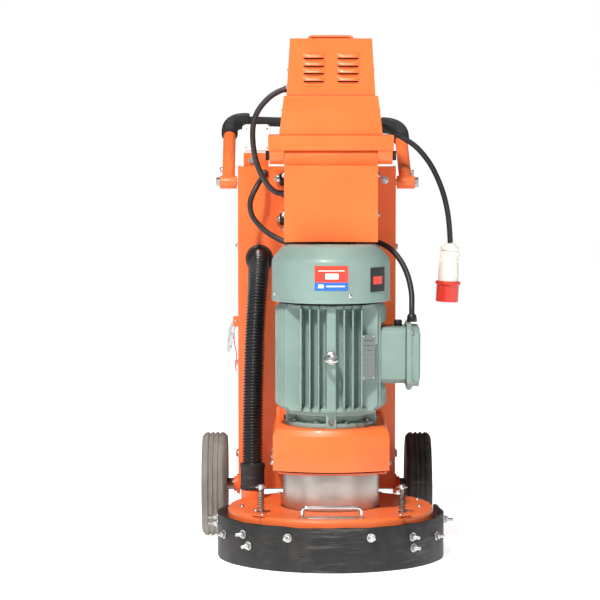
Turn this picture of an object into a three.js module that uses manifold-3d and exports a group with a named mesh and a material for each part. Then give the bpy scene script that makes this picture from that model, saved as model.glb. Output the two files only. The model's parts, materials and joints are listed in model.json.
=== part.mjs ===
// A walk-behind planetary concrete floor grinder, in millimetres, +Z up.
// Everything is laid out about the grinding head's own axis (X right, Y to the rear, Z up, floor at
// Z 0) and the whole is then shifted so that the origin is under the middle of the machine.
import * as THREE from "three";
import { mergeVertices } from "three/addons/utils/BufferGeometryUtils.js";
import Module from "manifold-3d";

const wasm = await Module();
wasm.setup();

/* ------------------------------------------------------------------ driving dimensions */
const GAP = 0.3; // clearance between neighbouring pieces
const SHEET = 4; // frame plate
const THIN_SHEET = 2.5; // folded covers

const FRAME = { left: -219, right: 157.5, front: 230, back: 318, bottom: 121, top: 893 };
const AXLE = { y: 280, z: 125, radius: 14, stub: 10 };
const WHEEL = { radius: 125, width: 60, rim: 80, centres: { left: -276, right: 214 } };

const PIVOT = { y: 250, z: 855, sleeve: 15, shaft: 8 };
const SLEEVES = { left: [-262, -222], right: [160.5, 203] };
const ELBOWS = { left: [-243, 440, 1001], right: [174, 440, 988] };
const ARM_RADIUS = 15;
const BAR_RADIUS = 10;
const ELBOW_BEND = 42;

const HEAD = { coverHalfWidth: 133, coverFront: -130, coverSideFront: -94, bottom: 199, top: 304 };
const DRUM = { radius: 111, wall: 4, bottom: 104.5 };
const CASE = { radius: 186, bottom: 58, top: 104, roof: 6 };
const GEARS = { sun: 60, planet: 57, ring: 174, depth: 6, bottom: 64, top: 92 };
const TEETH = { sun: 20, planet: 19, ring: 58 };
const CARRIER_ORBIT = GEARS.sun + GEARS.planet;
const PLANET_TURNS = [90, 210, 330];
const SPINDLE_RADIUS = 12.2;
const DISC = { radius: 88, segments: 3, segmentRadius: 20, segmentOrbit: 62 };

const SHROUD = { radius: 238, wall: 4, top: 115, plate: 3, bottom: 22, rearFlat: 222, eye: 113.5 };
const HATCH = { halfWidth: 161, rear: -124 };
const SKIRT = { radius: 262, wall: 8, height: 102, halfAngle: 112 };
const FLOAT_BOLTS = { x: 160, y: -135, radius: 5, head: 12, headTop: 183 };
const HOSE_FOOT = { x: -182.6, y: 110 };

const MOTOR = { flangeTop: 343, bodyTop: 587, core: 97, fins: 128, bore: 92, shaft: 14 };
const COWL = { radius: 136, bottom: 592, shoulder: 688, top: 722, crown: 105, wall: 2.5, eye: 60 };
const TERMINAL = { inner: 104, middle: 172, outer: 203, halfDepth: 56, low: 403, high: 532 };

const FRONT_BOX = { halfWidth: 107.5, front: -40, back: 226, low: 727, high: 902 };
const TILT = { y: 0, z: 924, knuckle: 20, pin: 7, inner: 107, outer: 141 };
const CONSOLE = { front: -15, back: 150, low: 971, waist: 1061, high: 1192 };
const PANEL = { top: [46, 1192], bottom: [150, 1110], halfWidth: 84, thickness: 3 };

const LEAD_RADIUS = 6.5;
const HOSE_RADIUS = 24.2;

/* ------------------------------------------------------------------ finishes */
const ORANGE = { color: "#f4783a", roughness: 0.4, metalness: 0 };
const GREY_GREEN = { color: "#93b3a9", roughness: 0.5, metalness: 0 };
const STAINLESS = { color: "#c9c4bf", roughness: 0.25, metalness: 1 };
const ZINC = { color: "#c4c6c8", roughness: 0.35, metalness: 1 };
const STEEL = { color: "#7d7f82", roughness: 0.5, metalness: 1 };
const RUBBER = { color: "#1f2022", roughness: 0.8, metalness: 0 };
const TYRE_GREY = { color: "#5d5a56", roughness: 0.9, metalness: 0 };
const BLACK_PLASTIC = { color: "#1b1d20", roughness: 0.5, metalness: 0 };
const WHITE_PLASTIC = { color: "#ecebe7", roughness: 0.5, metalness: 0 };
const RED_PLASTIC = { color: "#d9382c", roughness: 0.4, metalness: 0 };
const GREEN_PLASTIC = { color: "#2f9a4c", roughness: 0.4, metalness: 0 };
const COPPER = { color: "#a8623c", roughness: 0.5, metalness: 1 };

/* ------------------------------------------------------------------ joining and cutting */
function toSolid(geometry) {
  const bare = geometry.clone();
  bare.deleteAttribute("normal");
  bare.deleteAttribute("uv");
  const merged = mergeVertices(bare, 1e-3);
  const corners = merged.index.array;
  const kept = [];
  for (let i = 0; i < corners.length; i += 3) {
    const [a, b, c] = corners.slice(i, i + 3);
    if (a !== b && b !== c && c !== a) kept.push(a, b, c);
  }
  return new wasm.Manifold(new wasm.Mesh({
    numProp: 3,
    vertProperties: new Float32Array(merged.attributes.position.array),
    triVerts: new Uint32Array(kept),
  }));
}

function fromSolid(solid) {
  const mesh = solid.getMesh();
  const geometry = new THREE.BufferGeometry();
  geometry.setAttribute("position", new THREE.BufferAttribute(mesh.vertProperties, 3));
  geometry.setIndex(new THREE.BufferAttribute(mesh.triVerts, 1));
  geometry.computeVertexNormals();
  return geometry;
}

function join(...shapes) {
  return fromSolid(shapes.map(toSolid).reduce((a, b) => a.add(b)));
}

function cut(shape, ...tools) {
  return fromSolid(tools.map(toSolid).reduce((a, b) => a.subtract(b), toSolid(shape)));
}

function common(a, b) {
  return fromSolid(toSolid(a).intersect(toSolid(b)));
}

/* ------------------------------------------------------------------ basic shapes */
function block(x0, x1, y0, y1, z0, z1) {
  const box = new THREE.BoxGeometry(x1 - x0, y1 - y0, z1 - z0);
  return box.translate((x0 + x1) / 2, (y0 + y1) / 2, (z0 + z1) / 2);
}

// A block whose upper face has its own size.
function taperedBlock(low, high, z0, z1) {
  const box = new THREE.BoxGeometry(1, 1, 1);
  const places = box.attributes.position;
  for (let i = 0; i < places.count; i++) {
    const face = places.getZ(i) > 0 ? high : low;
    const x = places.getX(i) > 0 ? face[1] : face[0];
    const y = places.getY(i) > 0 ? face[3] : face[2];
    places.setXYZ(i, x, y, places.getZ(i) > 0 ? z1 : z0);
  }
  return box;
}

function rodZ(radius, x, y, z0, z1, sides = 14) {
  const rod = new THREE.CylinderGeometry(radius, radius, z1 - z0, sides).rotateX(Math.PI / 2);
  return rod.translate(x, y, (z0 + z1) / 2);
}

function rodX(radius, x0, x1, y, z, sides = 14) {
  const rod = new THREE.CylinderGeometry(radius, radius, x1 - x0, sides).rotateZ(Math.PI / 2);
  return rod.translate((x0 + x1) / 2, y, z);
}

function rodY(radius, x, y0, y1, z, sides = 14) {
  return new THREE.CylinderGeometry(radius, radius, y1 - y0, sides).translate(x, (y0 + y1) / 2, z);
}

// A turned piece about the Z axis from [radius, height] points that close on the axis or themselves.
function turned(points, sides = 24) {
  const profile = points.map(([r, z]) => new THREE.Vector2(r, z));
  if (THREE.ShapeUtils.area(profile) < 0) profile.reverse();
  const onAxis = profile[0].x === 0 && profile[profile.length - 1].x === 0;
  if (!onAxis) profile.push(profile[0].clone());
  return new THREE.LatheGeometry(profile, sides).rotateX(Math.PI / 2);
}

function turnedRing(inner, outer, z0, z1, sides = 24) {
  return turned([[inner, z0], [outer, z0], [outer, z1], [inner, z1]], sides);
}

// An outline in the XY plane raised from z0 to z1.
function raised(points, z0, z1) {
  const outline = new THREE.Shape(points.map(([x, y]) => new THREE.Vector2(x, y)));
  const prism = new THREE.ExtrudeGeometry(outline, { depth: z1 - z0, bevelEnabled: false });
  return prism.translate(0, 0, z0);
}

// An outline of [y, z] points carried across from x0 to x1.
function across(points, x0, x1) {
  const outline = new THREE.Shape(points.map(([y, z]) => new THREE.Vector2(y, z)));
  const prism = new THREE.ExtrudeGeometry(outline, { depth: x1 - x0, bevelEnabled: false });
  return prism.rotateX(Math.PI / 2).rotateZ(Math.PI / 2).translate(x0, 0, 0);
}

function vectors(points) {
  return points.map(([x, y, z]) => new THREE.Vector3(x, y, z));
}

function circle(radius, sides) {
  const shape = new THREE.Shape();
  for (let i = 0; i < sides; i++) {
    const turn = (2 * Math.PI * i) / sides;
    const point = [radius * Math.cos(turn), radius * Math.sin(turn)];
    if (i === 0) shape.moveTo(...point);
    else shape.lineTo(...point);
  }
  return shape;
}

function tubeAlong(path, radius, sides, steps) {
  return new THREE.ExtrudeGeometry(circle(radius, sides), { steps, extrudePath: path });
}

function softTube(points, radius, sides, steps) {
  const path = new THREE.CatmullRomCurve3(vectors(points), false, "centripetal");
  return tubeAlong(path, radius, sides, steps);
}

// Straight runs joined by bends of the given reach.
function bentPath(points, reach) {
  const corners = vectors(points);
  const path = new THREE.CurvePath();
  let from = corners[0];
  for (let i = 1; i < corners.length - 1; i++) {
    const before = corners[i].clone().lerp(corners[i - 1], reach / corners[i].distanceTo(corners[i - 1]));
    const after = corners[i].clone().lerp(corners[i + 1], reach / corners[i].distanceTo(corners[i + 1]));
    path.add(new THREE.LineCurve3(from, before));
    path.add(new THREE.QuadraticBezierCurve3(before, corners[i], after));
    from = after;
  }
  path.add(new THREE.LineCurve3(from, corners[corners.length - 1]));
  return path;
}

// A toothed outline; the tips stay just short of the pitch circle, so meshed pairs never touch.
function toothedOutline(pitch, teeth, inward) {
  const tip = pitch - (inward ? -0.5 : 0.5);
  const root = inward ? pitch + GEARS.depth : pitch - GEARS.depth;
  const points = [];
  for (let i = 0; i < teeth; i++) {
    for (const [part, radius] of [[0, root], [0.5, tip]]) {
      const turn = (2 * Math.PI * (i + part)) / teeth;
      points.push([radius * Math.cos(turn), radius * Math.sin(turn)]);
    }
  }
  return points;
}

// The radius of a faceted bore that a faceted shaft can turn in.
function turningBore(shaft, sides) {
  return (shaft + GAP) / Math.cos(Math.PI / sides);
}

function polar(radius, degrees) {
  const turn = THREE.MathUtils.degToRad(degrees);
  return [radius * Math.cos(turn), radius * Math.sin(turn)];
}

/* ------------------------------------------------------------------ assembly */
const grinder = new THREE.Group();

function add(name, geometry, finish) {
  const mesh = new THREE.Mesh(geometry, new THREE.MeshStandardMaterial(finish));
  mesh.name = name;
  grinder.add(mesh);
  return mesh;
}

/* ------------------------------------------------------------------ frame */
const spigot = { x: -168, z: 674, bore: 21, outer: 25, back: 290 };
const latch = { z: 524, y: 244, out: -231 };

function frameColumn() {
  const { left, right, front, back, bottom, top } = FRAME;
  const sides = [[left, left + SHEET], [right - SHEET, right]].flatMap(([x0, x1]) => [
    block(x0, x1, front, back, bottom, top),
    rodX(26, x0, x1, AXLE.y, AXLE.z),
  ]);
  const body = join(
    block(left, right, front, front + SHEET, bottom, top),
    ...sides,
    block(left, right, front, front + 34, top - SHEET, top),
    block(left, right, back - SHEET, back, 330, 390),
    rodY(spigot.outer, spigot.x, front + 1, spigot.back, spigot.z),
    block(-206, -146, 268, 268 + SHEET, top - 60, 925),
    block(-206, -146, front + 2, 270, top - 60, top - 56),
    block(latch.out, left + 1, latch.y - 9, latch.y - 6, latch.z - 14, latch.z + 10),
    block(latch.out, left + 1, latch.y + 6, latch.y + 9, latch.z - 14, latch.z + 10),
  );
  return cut(
    body,
    rodX(AXLE.radius + GAP, left - 5, right + 5, AXLE.y, AXLE.z),
    rodX(PIVOT.shaft + GAP, left - 5, right + 5, PIVOT.y, PIVOT.z, 10),
    rodY(spigot.bore, spigot.x, front - 5, spigot.back + 5, spigot.z),
    rodY(2.8, latch.out + 5, latch.y - 15, latch.y + 15, latch.z, 8),
  );
}

function latchLever() {
  const pin = rodY(2.5, latch.out + 5, latch.y - 9, latch.y + 9, latch.z, 8);
  const outline = [[-5, 5], [1, 5], [3, -4], [-4, -30], [-11, -72], [-18, -78], [-22, -70], [-17, -20]];
  const blade = new THREE.ExtrudeGeometry(
    new THREE.Shape(outline.map(([x, z]) => new THREE.Vector2(x, z))),
    { depth: 10, bevelEnabled: false },
  ).rotateX(Math.PI / 2).translate(latch.out + 6, latch.y + 5, latch.z);
  return join(pin, blade);
}

function handlePivotShaft() {
  const { y, z, shaft } = PIVOT;
  const ends = [[SLEEVES.left[0] - 9, SLEEVES.left[0] - GAP], [SLEEVES.right[1] + GAP, SLEEVES.right[1] + 9]];
  const heads = ends.map(([x0, x1]) => rodX(12, x0, x1, y, z, 6));
  return join(rodX(shaft, ends[0][0] + 1, ends[1][1] - 1, y, z, 10), ...heads);
}

add("frame_column", frameColumn(), ORANGE);
add("latch_lever", latchLever(), ZINC);
add("handle_pivot_shaft", handlePivotShaft(), ZINC);
add("switch_box", block(-206, -146, 272.3, 322, 928, 993), WHITE_PLASTIC);

/* ------------------------------------------------------------------ axle and wheels */
function axle() {
  const { left, right } = WHEEL.centres;
  const shoulder = WHEEL.width / 2 - 6;
  const end = WHEEL.width / 2 - 10;
  const middle = rodX(AXLE.radius, left + shoulder, right - shoulder, AXLE.y, AXLE.z);
  const stubs = rodX(AXLE.stub, left - end - 5, right + end + 5, AXLE.y, AXLE.z);
  const nuts = [[left - end - 9, left - end - GAP], [right + end + GAP, right + end + 9]];
  return join(middle, stubs, ...nuts.map(([x0, x1]) => rodX(15, x0, x1, AXLE.y, AXLE.z, 6)));
}

function tyre() {
  const half = WHEEL.width / 2;
  const { radius, rim } = WHEEL;
  return turned([
    [rim, -half + 8], [rim + 14, -half], [radius - 10, -half], [radius, -half + 12],
    [radius, half - 12], [radius - 10, half], [rim + 14, half], [rim, half - 8],
  ]);
}

function rim() {
  const outer = WHEEL.rim - GAP;
  const face = WHEEL.width / 2 - 8;
  const bore = AXLE.stub + GAP;
  const hub = WHEEL.width / 2 - 10;
  return turned([
    [bore, -hub], [22, -hub], [22, -5], [outer - 8, -5], [outer - 8, -face], [outer, -face],
    [outer, face], [outer - 8, face], [outer - 8, 5], [22, 5], [22, hub - 6.4], [bore, hub - 6.4],
  ]);
}

add("axle", axle(), STEEL);
for (const [side, facing] of [["left", -1], ["right", 1]]) {
  for (const [piece, shape, finish] of [["tyre", tyre(), TYRE_GREY], ["rim", rim(), ORANGE]]) {
    const wheelPart = add(`${side}_${piece}`, shape, finish);
    wheelPart.rotation.y = (-facing * Math.PI) / 2;
    wheelPart.position.set(WHEEL.centres[side], AXLE.y, AXLE.z);
  }
}

/* ------------------------------------------------------------------ handlebar */
const handlePoints = [
  [-242, PIVOT.y, PIVOT.z], ELBOWS.left, ELBOWS.right, [182, PIVOT.y, PIVOT.z],
];

// The straight arm from its foot, a share of the way to its elbow.
function arm(foot, elbow, radius, start, end) {
  const [a, b] = vectors([foot, elbow]);
  const from = a.clone().lerp(b, start);
  const to = a.clone().lerp(b, end);
  return tubeAlong(new THREE.LineCurve3(from, to), radius, 12, 1);
}

function arms(radius, start, end) {
  return join(
    arm(handlePoints[0], handlePoints[1], radius, start, end),
    arm(handlePoints[3], handlePoints[2], radius, start, end),
  );
}

function crossBar(radius) {
  const [a, b, c, d] = vectors(handlePoints);
  const ends = [a.lerp(b, 0.3), d.lerp(c, 0.3)].map((v) => v.toArray());
  return tubeAlong(bentPath([ends[0], b.toArray(), c.toArray(), ends[1]], ELBOW_BEND), radius, 8, 24);
}

function handlebarTube() {
  const sleeves = Object.values(SLEEVES).map(([x0, x1]) => rodX(PIVOT.sleeve, x0, x1, PIVOT.y, PIVOT.z));
  const bore = rodX(turningBore(PIVOT.shaft, 10), -280, 220, PIVOT.y, PIVOT.z, 10);
  return cut(join(arms(ARM_RADIUS, 0.03, 0.86), crossBar(BAR_RADIUS), ...sleeves), bore);
}

function gripElbow(foot, elbow, other) {
  const [a, b, c] = vectors([foot, elbow, other]);
  const low = b.clone().lerp(a, 62 / a.distanceTo(b));
  const far = b.clone().lerp(c, 48 / c.distanceTo(b));
  return tubeAlong(bentPath([low.toArray(), elbow, far.toArray()], ELBOW_BEND), 20, 10, 6);
}

function handlebarGrip() {
  const [a, b, c, d] = handlePoints;
  const span = tubeAlong(new THREE.LineCurve3(...vectors([b, c])), BAR_RADIUS + 1.8, 12, 1);
  const trimmed = common(span, block(b[0] + 30, c[0] - 30, 400, 480, 900, 1100));
  const outer = join(trimmed, gripElbow(a, b, c), gripElbow(d, c, b));
  return cut(outer, crossBar(BAR_RADIUS + GAP), arms(ARM_RADIUS + GAP, 0.03, 0.862));
}

add("handlebar_tube", handlebarTube(), ORANGE);
add("handlebar_grip", handlebarGrip(), BLACK_PLASTIC);

/* ------------------------------------------------------------------ grinding head */
// The head cover seen from above: straight sides and a shallow bowed front.
function coverOutline(inset) {
  const half = HEAD.coverHalfWidth - inset;
  const sideFront = HEAD.coverSideFront + inset;
  const bow = HEAD.coverSideFront - HEAD.coverFront;
  const points = [[half, FRAME.front - GAP], [-half, FRAME.front - GAP]];
  const steps = 8;
  for (let i = 0; i <= steps; i++) {
    const share = -1 + (2 * i) / steps;
    points.push([half * share, sideFront - bow * (1 - share * share)]);
  }
  return points;
}

function headCover() {
  const { bottom, top } = HEAD;
  const basePlate = raised(coverOutline(8), bottom, bottom + 5);
  const walls = cut(
    raised(coverOutline(0), bottom + 9, top),
    raised(coverOutline(THIN_SHEET), bottom + 4, top - THIN_SHEET),
  );
  const webs = [-70, 70].map((x) => block(x - 3, x + 3, 90, FRAME.front - GAP, bottom + 2, top - 1));
  return cut(
    join(basePlate, walls, ...webs),
    rodZ(30, 0, 0, bottom - 5, bottom + 20),
    rodZ(88, 0, 0, top - 20, top + 5, 28),
  );
}

function headDrum() {
  const { radius, wall, bottom } = DRUM;
  const top = HEAD.bottom - GAP;
  return turned([
    [radius, bottom], [radius, top], [40, top],
    [40, top - 5], [radius - wall, top - 5], [radius - wall, bottom],
  ], 30);
}

function gearCase() {
  const { radius, bottom, top, roof } = CASE;
  const lugs = [-1, 1].map((side) => {
    const lug = block(170, 226, -15, 15, top - 12, top);
    return lug.rotateZ(Math.atan2(FLOAT_BOLTS.y, side * FLOAT_BOLTS.x));
  });
  return cut(
    join(rodZ(radius, 0, 0, bottom, top, 36), ...lugs),
    raised(toothedOutline(GEARS.ring, TEETH.ring, true), bottom - 5, top - roof),
    rodZ(40, 0, 0, top - 20, top + 5, 16),
  );
}

function planetCarrier() {
  const holeRadius = turningBore(SPINDLE_RADIUS, 12);
  const spindleHoles = PLANET_TURNS.map((turn) => (
    rodZ(holeRadius, ...polar(CARRIER_ORBIT, turn), 30, 70, 12)
  ));
  const plate = turned([
    [0, 44], [40, 44], [46, 48], [182, 48], [182, 55], [0, 55],
  ], 30);
  return cut(plate, ...spindleHoles, rodZ(10, 0, 0, 40, 65, 10));
}

function planetGear() {
  return cut(
    join(
      raised(toothedOutline(GEARS.planet, TEETH.planet, false), GEARS.bottom, GEARS.top),
      rodZ(SPINDLE_RADIUS, 0, 0, 18, GEARS.top + 4, 12),
    ),
    rodZ(4, 0, 0, 60, 120, 6),
  );
}

function grindingDisc() {
  const { radius, segments, segmentRadius, segmentOrbit } = DISC;
  const plate = turned([[0, 12], [radius, 12], [radius, 22], [34, 22], [30, 40], [0, 40]], 24);
  const feet = [];
  for (let i = 0; i < segments; i++) {
    feet.push(rodZ(segmentRadius, ...polar(segmentOrbit, 30 + (360 * i) / segments), 0, 13, 10));
  }
  return cut(join(plate, ...feet), rodZ(SPINDLE_RADIUS + GAP, 0, 0, 17.5, 60, 12));
}

add("head_cover", headCover(), ORANGE);
add("head_drum", headDrum(), STAINLESS);
add("gear_case", gearCase(), STEEL);
add("planet_carrier", planetCarrier(), STEEL);
PLANET_TURNS.forEach((turn, i) => {
  const [x, y] = polar(CARRIER_ORBIT, turn);
  add(`planet_gear_${i + 1}`, planetGear(), STEEL).position.set(x, y, 0);
  add(`grinding_disc_${i + 1}`, grindingDisc(), STEEL).position.set(x, y, 0);
});

/* ------------------------------------------------------------------ dust shroud */
function shroudShell() {
  const { radius, wall, top, plate, bottom, eye } = SHROUD;
  const lip = SKIRT.radius - SKIRT.wall - 3;
  return turned([
    [eye, top], [radius - 5, top], [radius, top - 5], [radius, bottom + wall], [lip, bottom + wall],
    [lip, bottom], [radius - wall, bottom], [radius - wall, top - plate], [eye, top - plate],
  ], 36);
}

const hosePort = { top: 136, outer: 27, inner: 21 };

function boltHoles() {
  return [-1, 1].map((side) => rodZ(7, side * FLOAT_BOLTS.x, FLOAT_BOLTS.y, 105, 125, 10));
}

function dustShroud() {
  const { radius, top, plate, rearFlat } = SHROUD;
  const ring = cut(
    shroudShell(),
    block(-HATCH.halfWidth, HATCH.halfWidth, -300, HATCH.rear, 0, top + 5),
    block(-radius, radius, rearFlat, 300, 0, top + 5),
  );
  const stub = rodZ(hosePort.outer, HOSE_FOOT.x, HOSE_FOOT.y, top - 2, hosePort.top, 16);
  const reach = HATCH.halfWidth + 9;
  const seat = block(-reach, reach, HATCH.rear - 8, HATCH.rear + 9, top - 8, top - plate - GAP);
  const riser = block(-reach, reach, HATCH.rear, HATCH.rear + 9, top - 8, top - 1);
  const bore = rodZ(hosePort.inner, HOSE_FOOT.x, HOSE_FOOT.y, top - 10, hosePort.top + 5, 16);
  return cut(join(ring, stub, seat, riser), bore, ...boltHoles());
}

function frontHatch() {
  const reach = HATCH.halfWidth - GAP;
  const segment = common(shroudShell(), block(-reach, reach, -300, HATCH.rear - GAP, 20, 130));
  return cut(
    segment,
    block(-HATCH.halfWidth - 12, HATCH.halfWidth + 12, HATCH.rear - 8 - GAP, HATCH.rear + 12, 100, 111.5),
    ...boltHoles(),
  );
}

function skirt() {
  const { radius, wall, height, halfAngle } = SKIRT;
  const half = THREE.MathUtils.degToRad(halfAngle);
  const outline = [];
  const steps = 22;
  for (const [r, way] of [[radius, 1], [radius - wall, -1]]) {
    for (let i = 0; i <= steps; i++) {
      const turn = -Math.PI / 2 + way * half * (-1 + (2 * i) / steps);
      outline.push([r * Math.cos(turn), r * Math.sin(turn)]);
    }
  }
  return raised(outline, 0, height);
}

function hatchHandle() {
  const rod = [
    [-68, -196, SHROUD.top + GAP], [-68, -196, 139], [68, -196, 139], [68, -196, SHROUD.top + GAP],
  ];
  return tubeAlong(bentPath(rod, 12), 4.5, 8, 16);
}

function hoseCuff() {
  const { x, y } = HOSE_FOOT;
  const low = hosePort.top + GAP;
  return turned([
    [21, low], [29, low], [29, 198], [HOSE_RADIUS + 0.7, 198], [HOSE_RADIUS + 0.7, low + 3], [21, low + 3],
  ], 18).translate(x, y, 0);
}

function floatBolt() {
  const { radius, head, headTop } = FLOAT_BOLTS;
  return turned([
    [0, CASE.top + GAP], [radius, CASE.top + GAP], [radius, headTop - 8], [head, headTop - 8],
    [head - 4, headTop - 2], [0, headTop],
  ], 12);
}

add("dust_shroud", dustShroud(), ORANGE);
add("front_hatch", frontHatch(), ORANGE);
add("skirt", skirt(), RUBBER);
add("hatch_handle", hatchHandle(), ZINC);
add("hose_cuff", hoseCuff(), BLACK_PLASTIC);
[-1, 1].forEach((side, i) => {
  const spring = turnedRing(6, 9, SHROUD.top + GAP, FLOAT_BOLTS.headTop - 8 - GAP, 12);
  const where = [side * FLOAT_BOLTS.x, FLOAT_BOLTS.y, 0];
  add(`float_bolt_${i + 1}`, floatBolt(), ZINC).position.set(...where);
  add(`float_spring_${i + 1}`, spring, ZINC).position.set(...where);
});

/* ------------------------------------------------------------------ motor */
function motorFlange() {
  const low = HEAD.top + GAP;
  const body = turned([
    [20, low], [96, low], [96, low + 10], [78, low + 13], [78, low + 26], [100, low + 29],
    [100, MOTOR.flangeTop - GAP], [20, MOTOR.flangeTop - GAP],
  ], 24);
  const lugs = [0, 90, 180, 270].map((turn) => block(70, 104, -13, 13, low, MOTOR.flangeTop - GAP)
    .rotateZ(THREE.MathUtils.degToRad(turn)));
  return join(body, ...lugs);
}

function fins() {
  const low = MOTOR.flangeTop;
  const high = MOTOR.bodyTop;
  const blades = [];
  for (const offset of [-70, -50, -30, 30, 50, 70]) {
    blades.push(block(offset - 2, offset + 2, -MOTOR.fins, MOTOR.fins, low, high));
  }
  for (const offset of [-75, -50, -25, 0, 25, 50, 75]) {
    blades.push(block(-MOTOR.fins, MOTOR.fins, offset - 2, offset + 2, low, high));
  }
  blades.push(block(-10, 10, -MOTOR.fins + 8, 0, low, high));
  return join(...blades);
}

function motorHousing() {
  const { core, bore, flangeTop: low, bodyTop: high } = MOTOR;
  const envelope = turned([
    [0, low], [MOTOR.fins - 14, low], [MOTOR.fins, low + 12], [MOTOR.fins, high], [0, high],
  ], 24);
  const seat = block(
    TERMINAL.inner - GAP, 150, -TERMINAL.halfDepth - GAP, TERMINAL.halfDepth + GAP,
    TERMINAL.low - GAP, TERMINAL.high + GAP,
  );
  const finned = join(common(fins(), envelope), rodZ(core, 0, 0, low, high, 24));
  return cut(finned, rodZ(bore, 0, 0, low - 5, high + 5, 24), seat);
}

function rotorShaft() {
  const core = turned([
    [0, 60], [MOTOR.shaft, 60], [MOTOR.shaft, 376], [61, 376], [61, 556], [MOTOR.shaft, 556],
    [MOTOR.shaft, 652], [0, 652],
  ], 14);
  return join(core, raised(toothedOutline(GEARS.sun, TEETH.sun, false), GEARS.bottom, GEARS.top));
}

function fanCowl() {
  const { radius, bottom, shoulder, top, crown, wall, eye } = COWL;
  return turned([
    [radius, bottom], [radius, shoulder], [crown, top], [eye, top], [eye, top - wall],
    [crown - 1, top - wall], [radius - wall, shoulder - 1], [radius - wall, bottom],
  ], 28);
}

function coolingFan() {
  const hub = turnedRing(MOTOR.shaft + GAP, 34, 608, 650, 14);
  const back = turnedRing(30, 112, 608, 612, 16);
  const blades = [];
  for (let i = 0; i < 6; i++) {
    blades.push(block(32, 116, -2, 2, 608, 648).rotateZ((Math.PI * i) / 3));
  }
  return join(hub, back, ...blades);
}

function liftingEye() {
  const face = -MOTOR.fins + 8 - GAP;
  const height = 468;
  const ring = new THREE.TorusGeometry(12.5, 5.5, 8, 14).rotateX(0.35).translate(0, face - 22, height);
  return join(ring, rodY(15, 0, face - 5, face, height, 14), rodY(6, 0, face - 10, face - 2, height, 8));
}

// The terminal box outline seen along X, with clipped corners.
function boxOutline(halfDepth, low, high, clip) {
  return [
    [-halfDepth + clip, low], [halfDepth - clip, low], [halfDepth, low + clip], [halfDepth, high - clip],
    [halfDepth - clip, high], [-halfDepth + clip, high], [-halfDepth, high - clip], [-halfDepth, low + clip],
  ];
}

function terminalBox() {
  const { inner, middle, halfDepth, low, high } = TERMINAL;
  const outer = across(boxOutline(halfDepth, low, high, 10), inner, middle);
  const hollow = across(boxOutline(halfDepth - 5, low + 5, high - 5, 8), inner + 18, middle + 5);
  return cut(outer, hollow);
}

function terminalBoxLid() {
  const { middle, outer, halfDepth } = TERMINAL;
  const low = 388;
  const high = 541;
  const lip = across(boxOutline(halfDepth + 10, low, high, 16), middle + GAP, middle + 13);
  const crown = across(boxOutline(halfDepth + 3, low + 8, high - 8, 14), middle + 12, outer);
  return join(lip, crown);
}

add("motor_flange", motorFlange(), GREY_GREEN);
add("motor_housing", motorHousing(), GREY_GREEN);
add("stator", turnedRing(62.5, MOTOR.bore - 3, 366, 566, 20), COPPER);
add("rotor_shaft", rotorShaft(), STEEL);
add("fan_cowl", fanCowl(), GREY_GREEN);
add("cooling_fan", coolingFan(), BLACK_PLASTIC);
add("lifting_eye", liftingEye(), ZINC);
add("terminal_box", terminalBox(), GREY_GREEN);
add("terminal_box_lid", terminalBoxLid(), GREY_GREEN);

/* ------------------------------------------------------------------ front box and tilt hinge */
function frontBox() {
  const { halfWidth, front, back, low, high } = FRONT_BOX;
  const inner = halfWidth - THIN_SHEET;
  return cut(
    block(-halfWidth, halfWidth, front, back, low, high),
    block(-inner, inner, front + THIN_SHEET, back + 5, low + THIN_SHEET, high - THIN_SHEET),
  );
}

function hingeNeck() {
  const { y, z, inner, pin } = TILT;
  const high = z - 2;
  const post = block(-inner, inner, y - 17, y + 17, FRONT_BOX.high + GAP, high);
  return cut(join(post, rodX(17, -inner, inner, y, z, 16)), rodX(pin + GAP, -150, 150, y, z, 10));
}

function hingePin() {
  const { y, z, pin, outer } = TILT;
  const heads = [[-outer - 9, -outer - GAP], [outer + GAP, outer + 9]];
  return join(
    rodX(pin, -outer - 5, outer + 5, y, z, 10),
    ...heads.map(([x0, x1]) => rodX(11, x0, x1, y, z, 6)),
  );
}

add("front_box", frontBox(), ORANGE);
add("drive_unit", block(-72, 72, 60, 210, 742, 884), BLACK_PLASTIC);
add("hinge_neck", hingeNeck(), ORANGE);
add("hinge_pin", hingePin(), STEEL);

/* ------------------------------------------------------------------ console */
function saddleBracket() {
  const { y, z, knuckle, inner, outer, pin } = TILT;
  const reach = 144;
  const low = 936;
  const high = CONSOLE.low - GAP;
  const front = y - knuckle - 2;
  const back = 146;
  const plate = block(-reach, reach, front, back, high - 6, high);
  const skirts = [front, back - SHEET].map((y0) => block(-reach, reach, y0, y0 + SHEET, low, high));
  const ears = [[-outer, -inner - GAP], [inner + GAP, outer]].flatMap(([x0, x1]) => [
    block(x0, x1, y - knuckle, y + knuckle, z, high - 2),
    rodX(knuckle, x0, x1, y, z, 18),
  ]);
  return cut(join(plate, ...skirts, ...ears), rodX(turningBore(pin, 10), -150, 150, y, z, 10));
}

function consoleBase() {
  const { front, back, low, waist } = CONSOLE;
  const wall = THIN_SHEET;
  const shell = taperedBlock([-119, 119, front, back], [-108, 108, front + 8, back], low, waist);
  const hollow = taperedBlock(
    [-119 + wall, 119 - wall, front + wall, back - wall],
    [-108 + wall, 108 - wall, front + 8 + wall, back - wall], low - 5, waist - wall,
  );
  return cut(shell, hollow);
}

// The cabinet side seen along X: upright front, level crown, panel slope and upright back.
function cabinetProfile(inset) {
  const low = CONSOLE.waist + GAP + inset;
  const [slopeY, slopeZ] = PANEL.top;
  const [backY, backZ] = PANEL.bottom;
  return [
    [CONSOLE.front + 12 + inset, low], [backY - inset, low], [backY - inset, backZ],
    [slopeY, slopeZ - inset], [CONSOLE.front + 20 + inset, slopeZ - inset],
  ];
}

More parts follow.
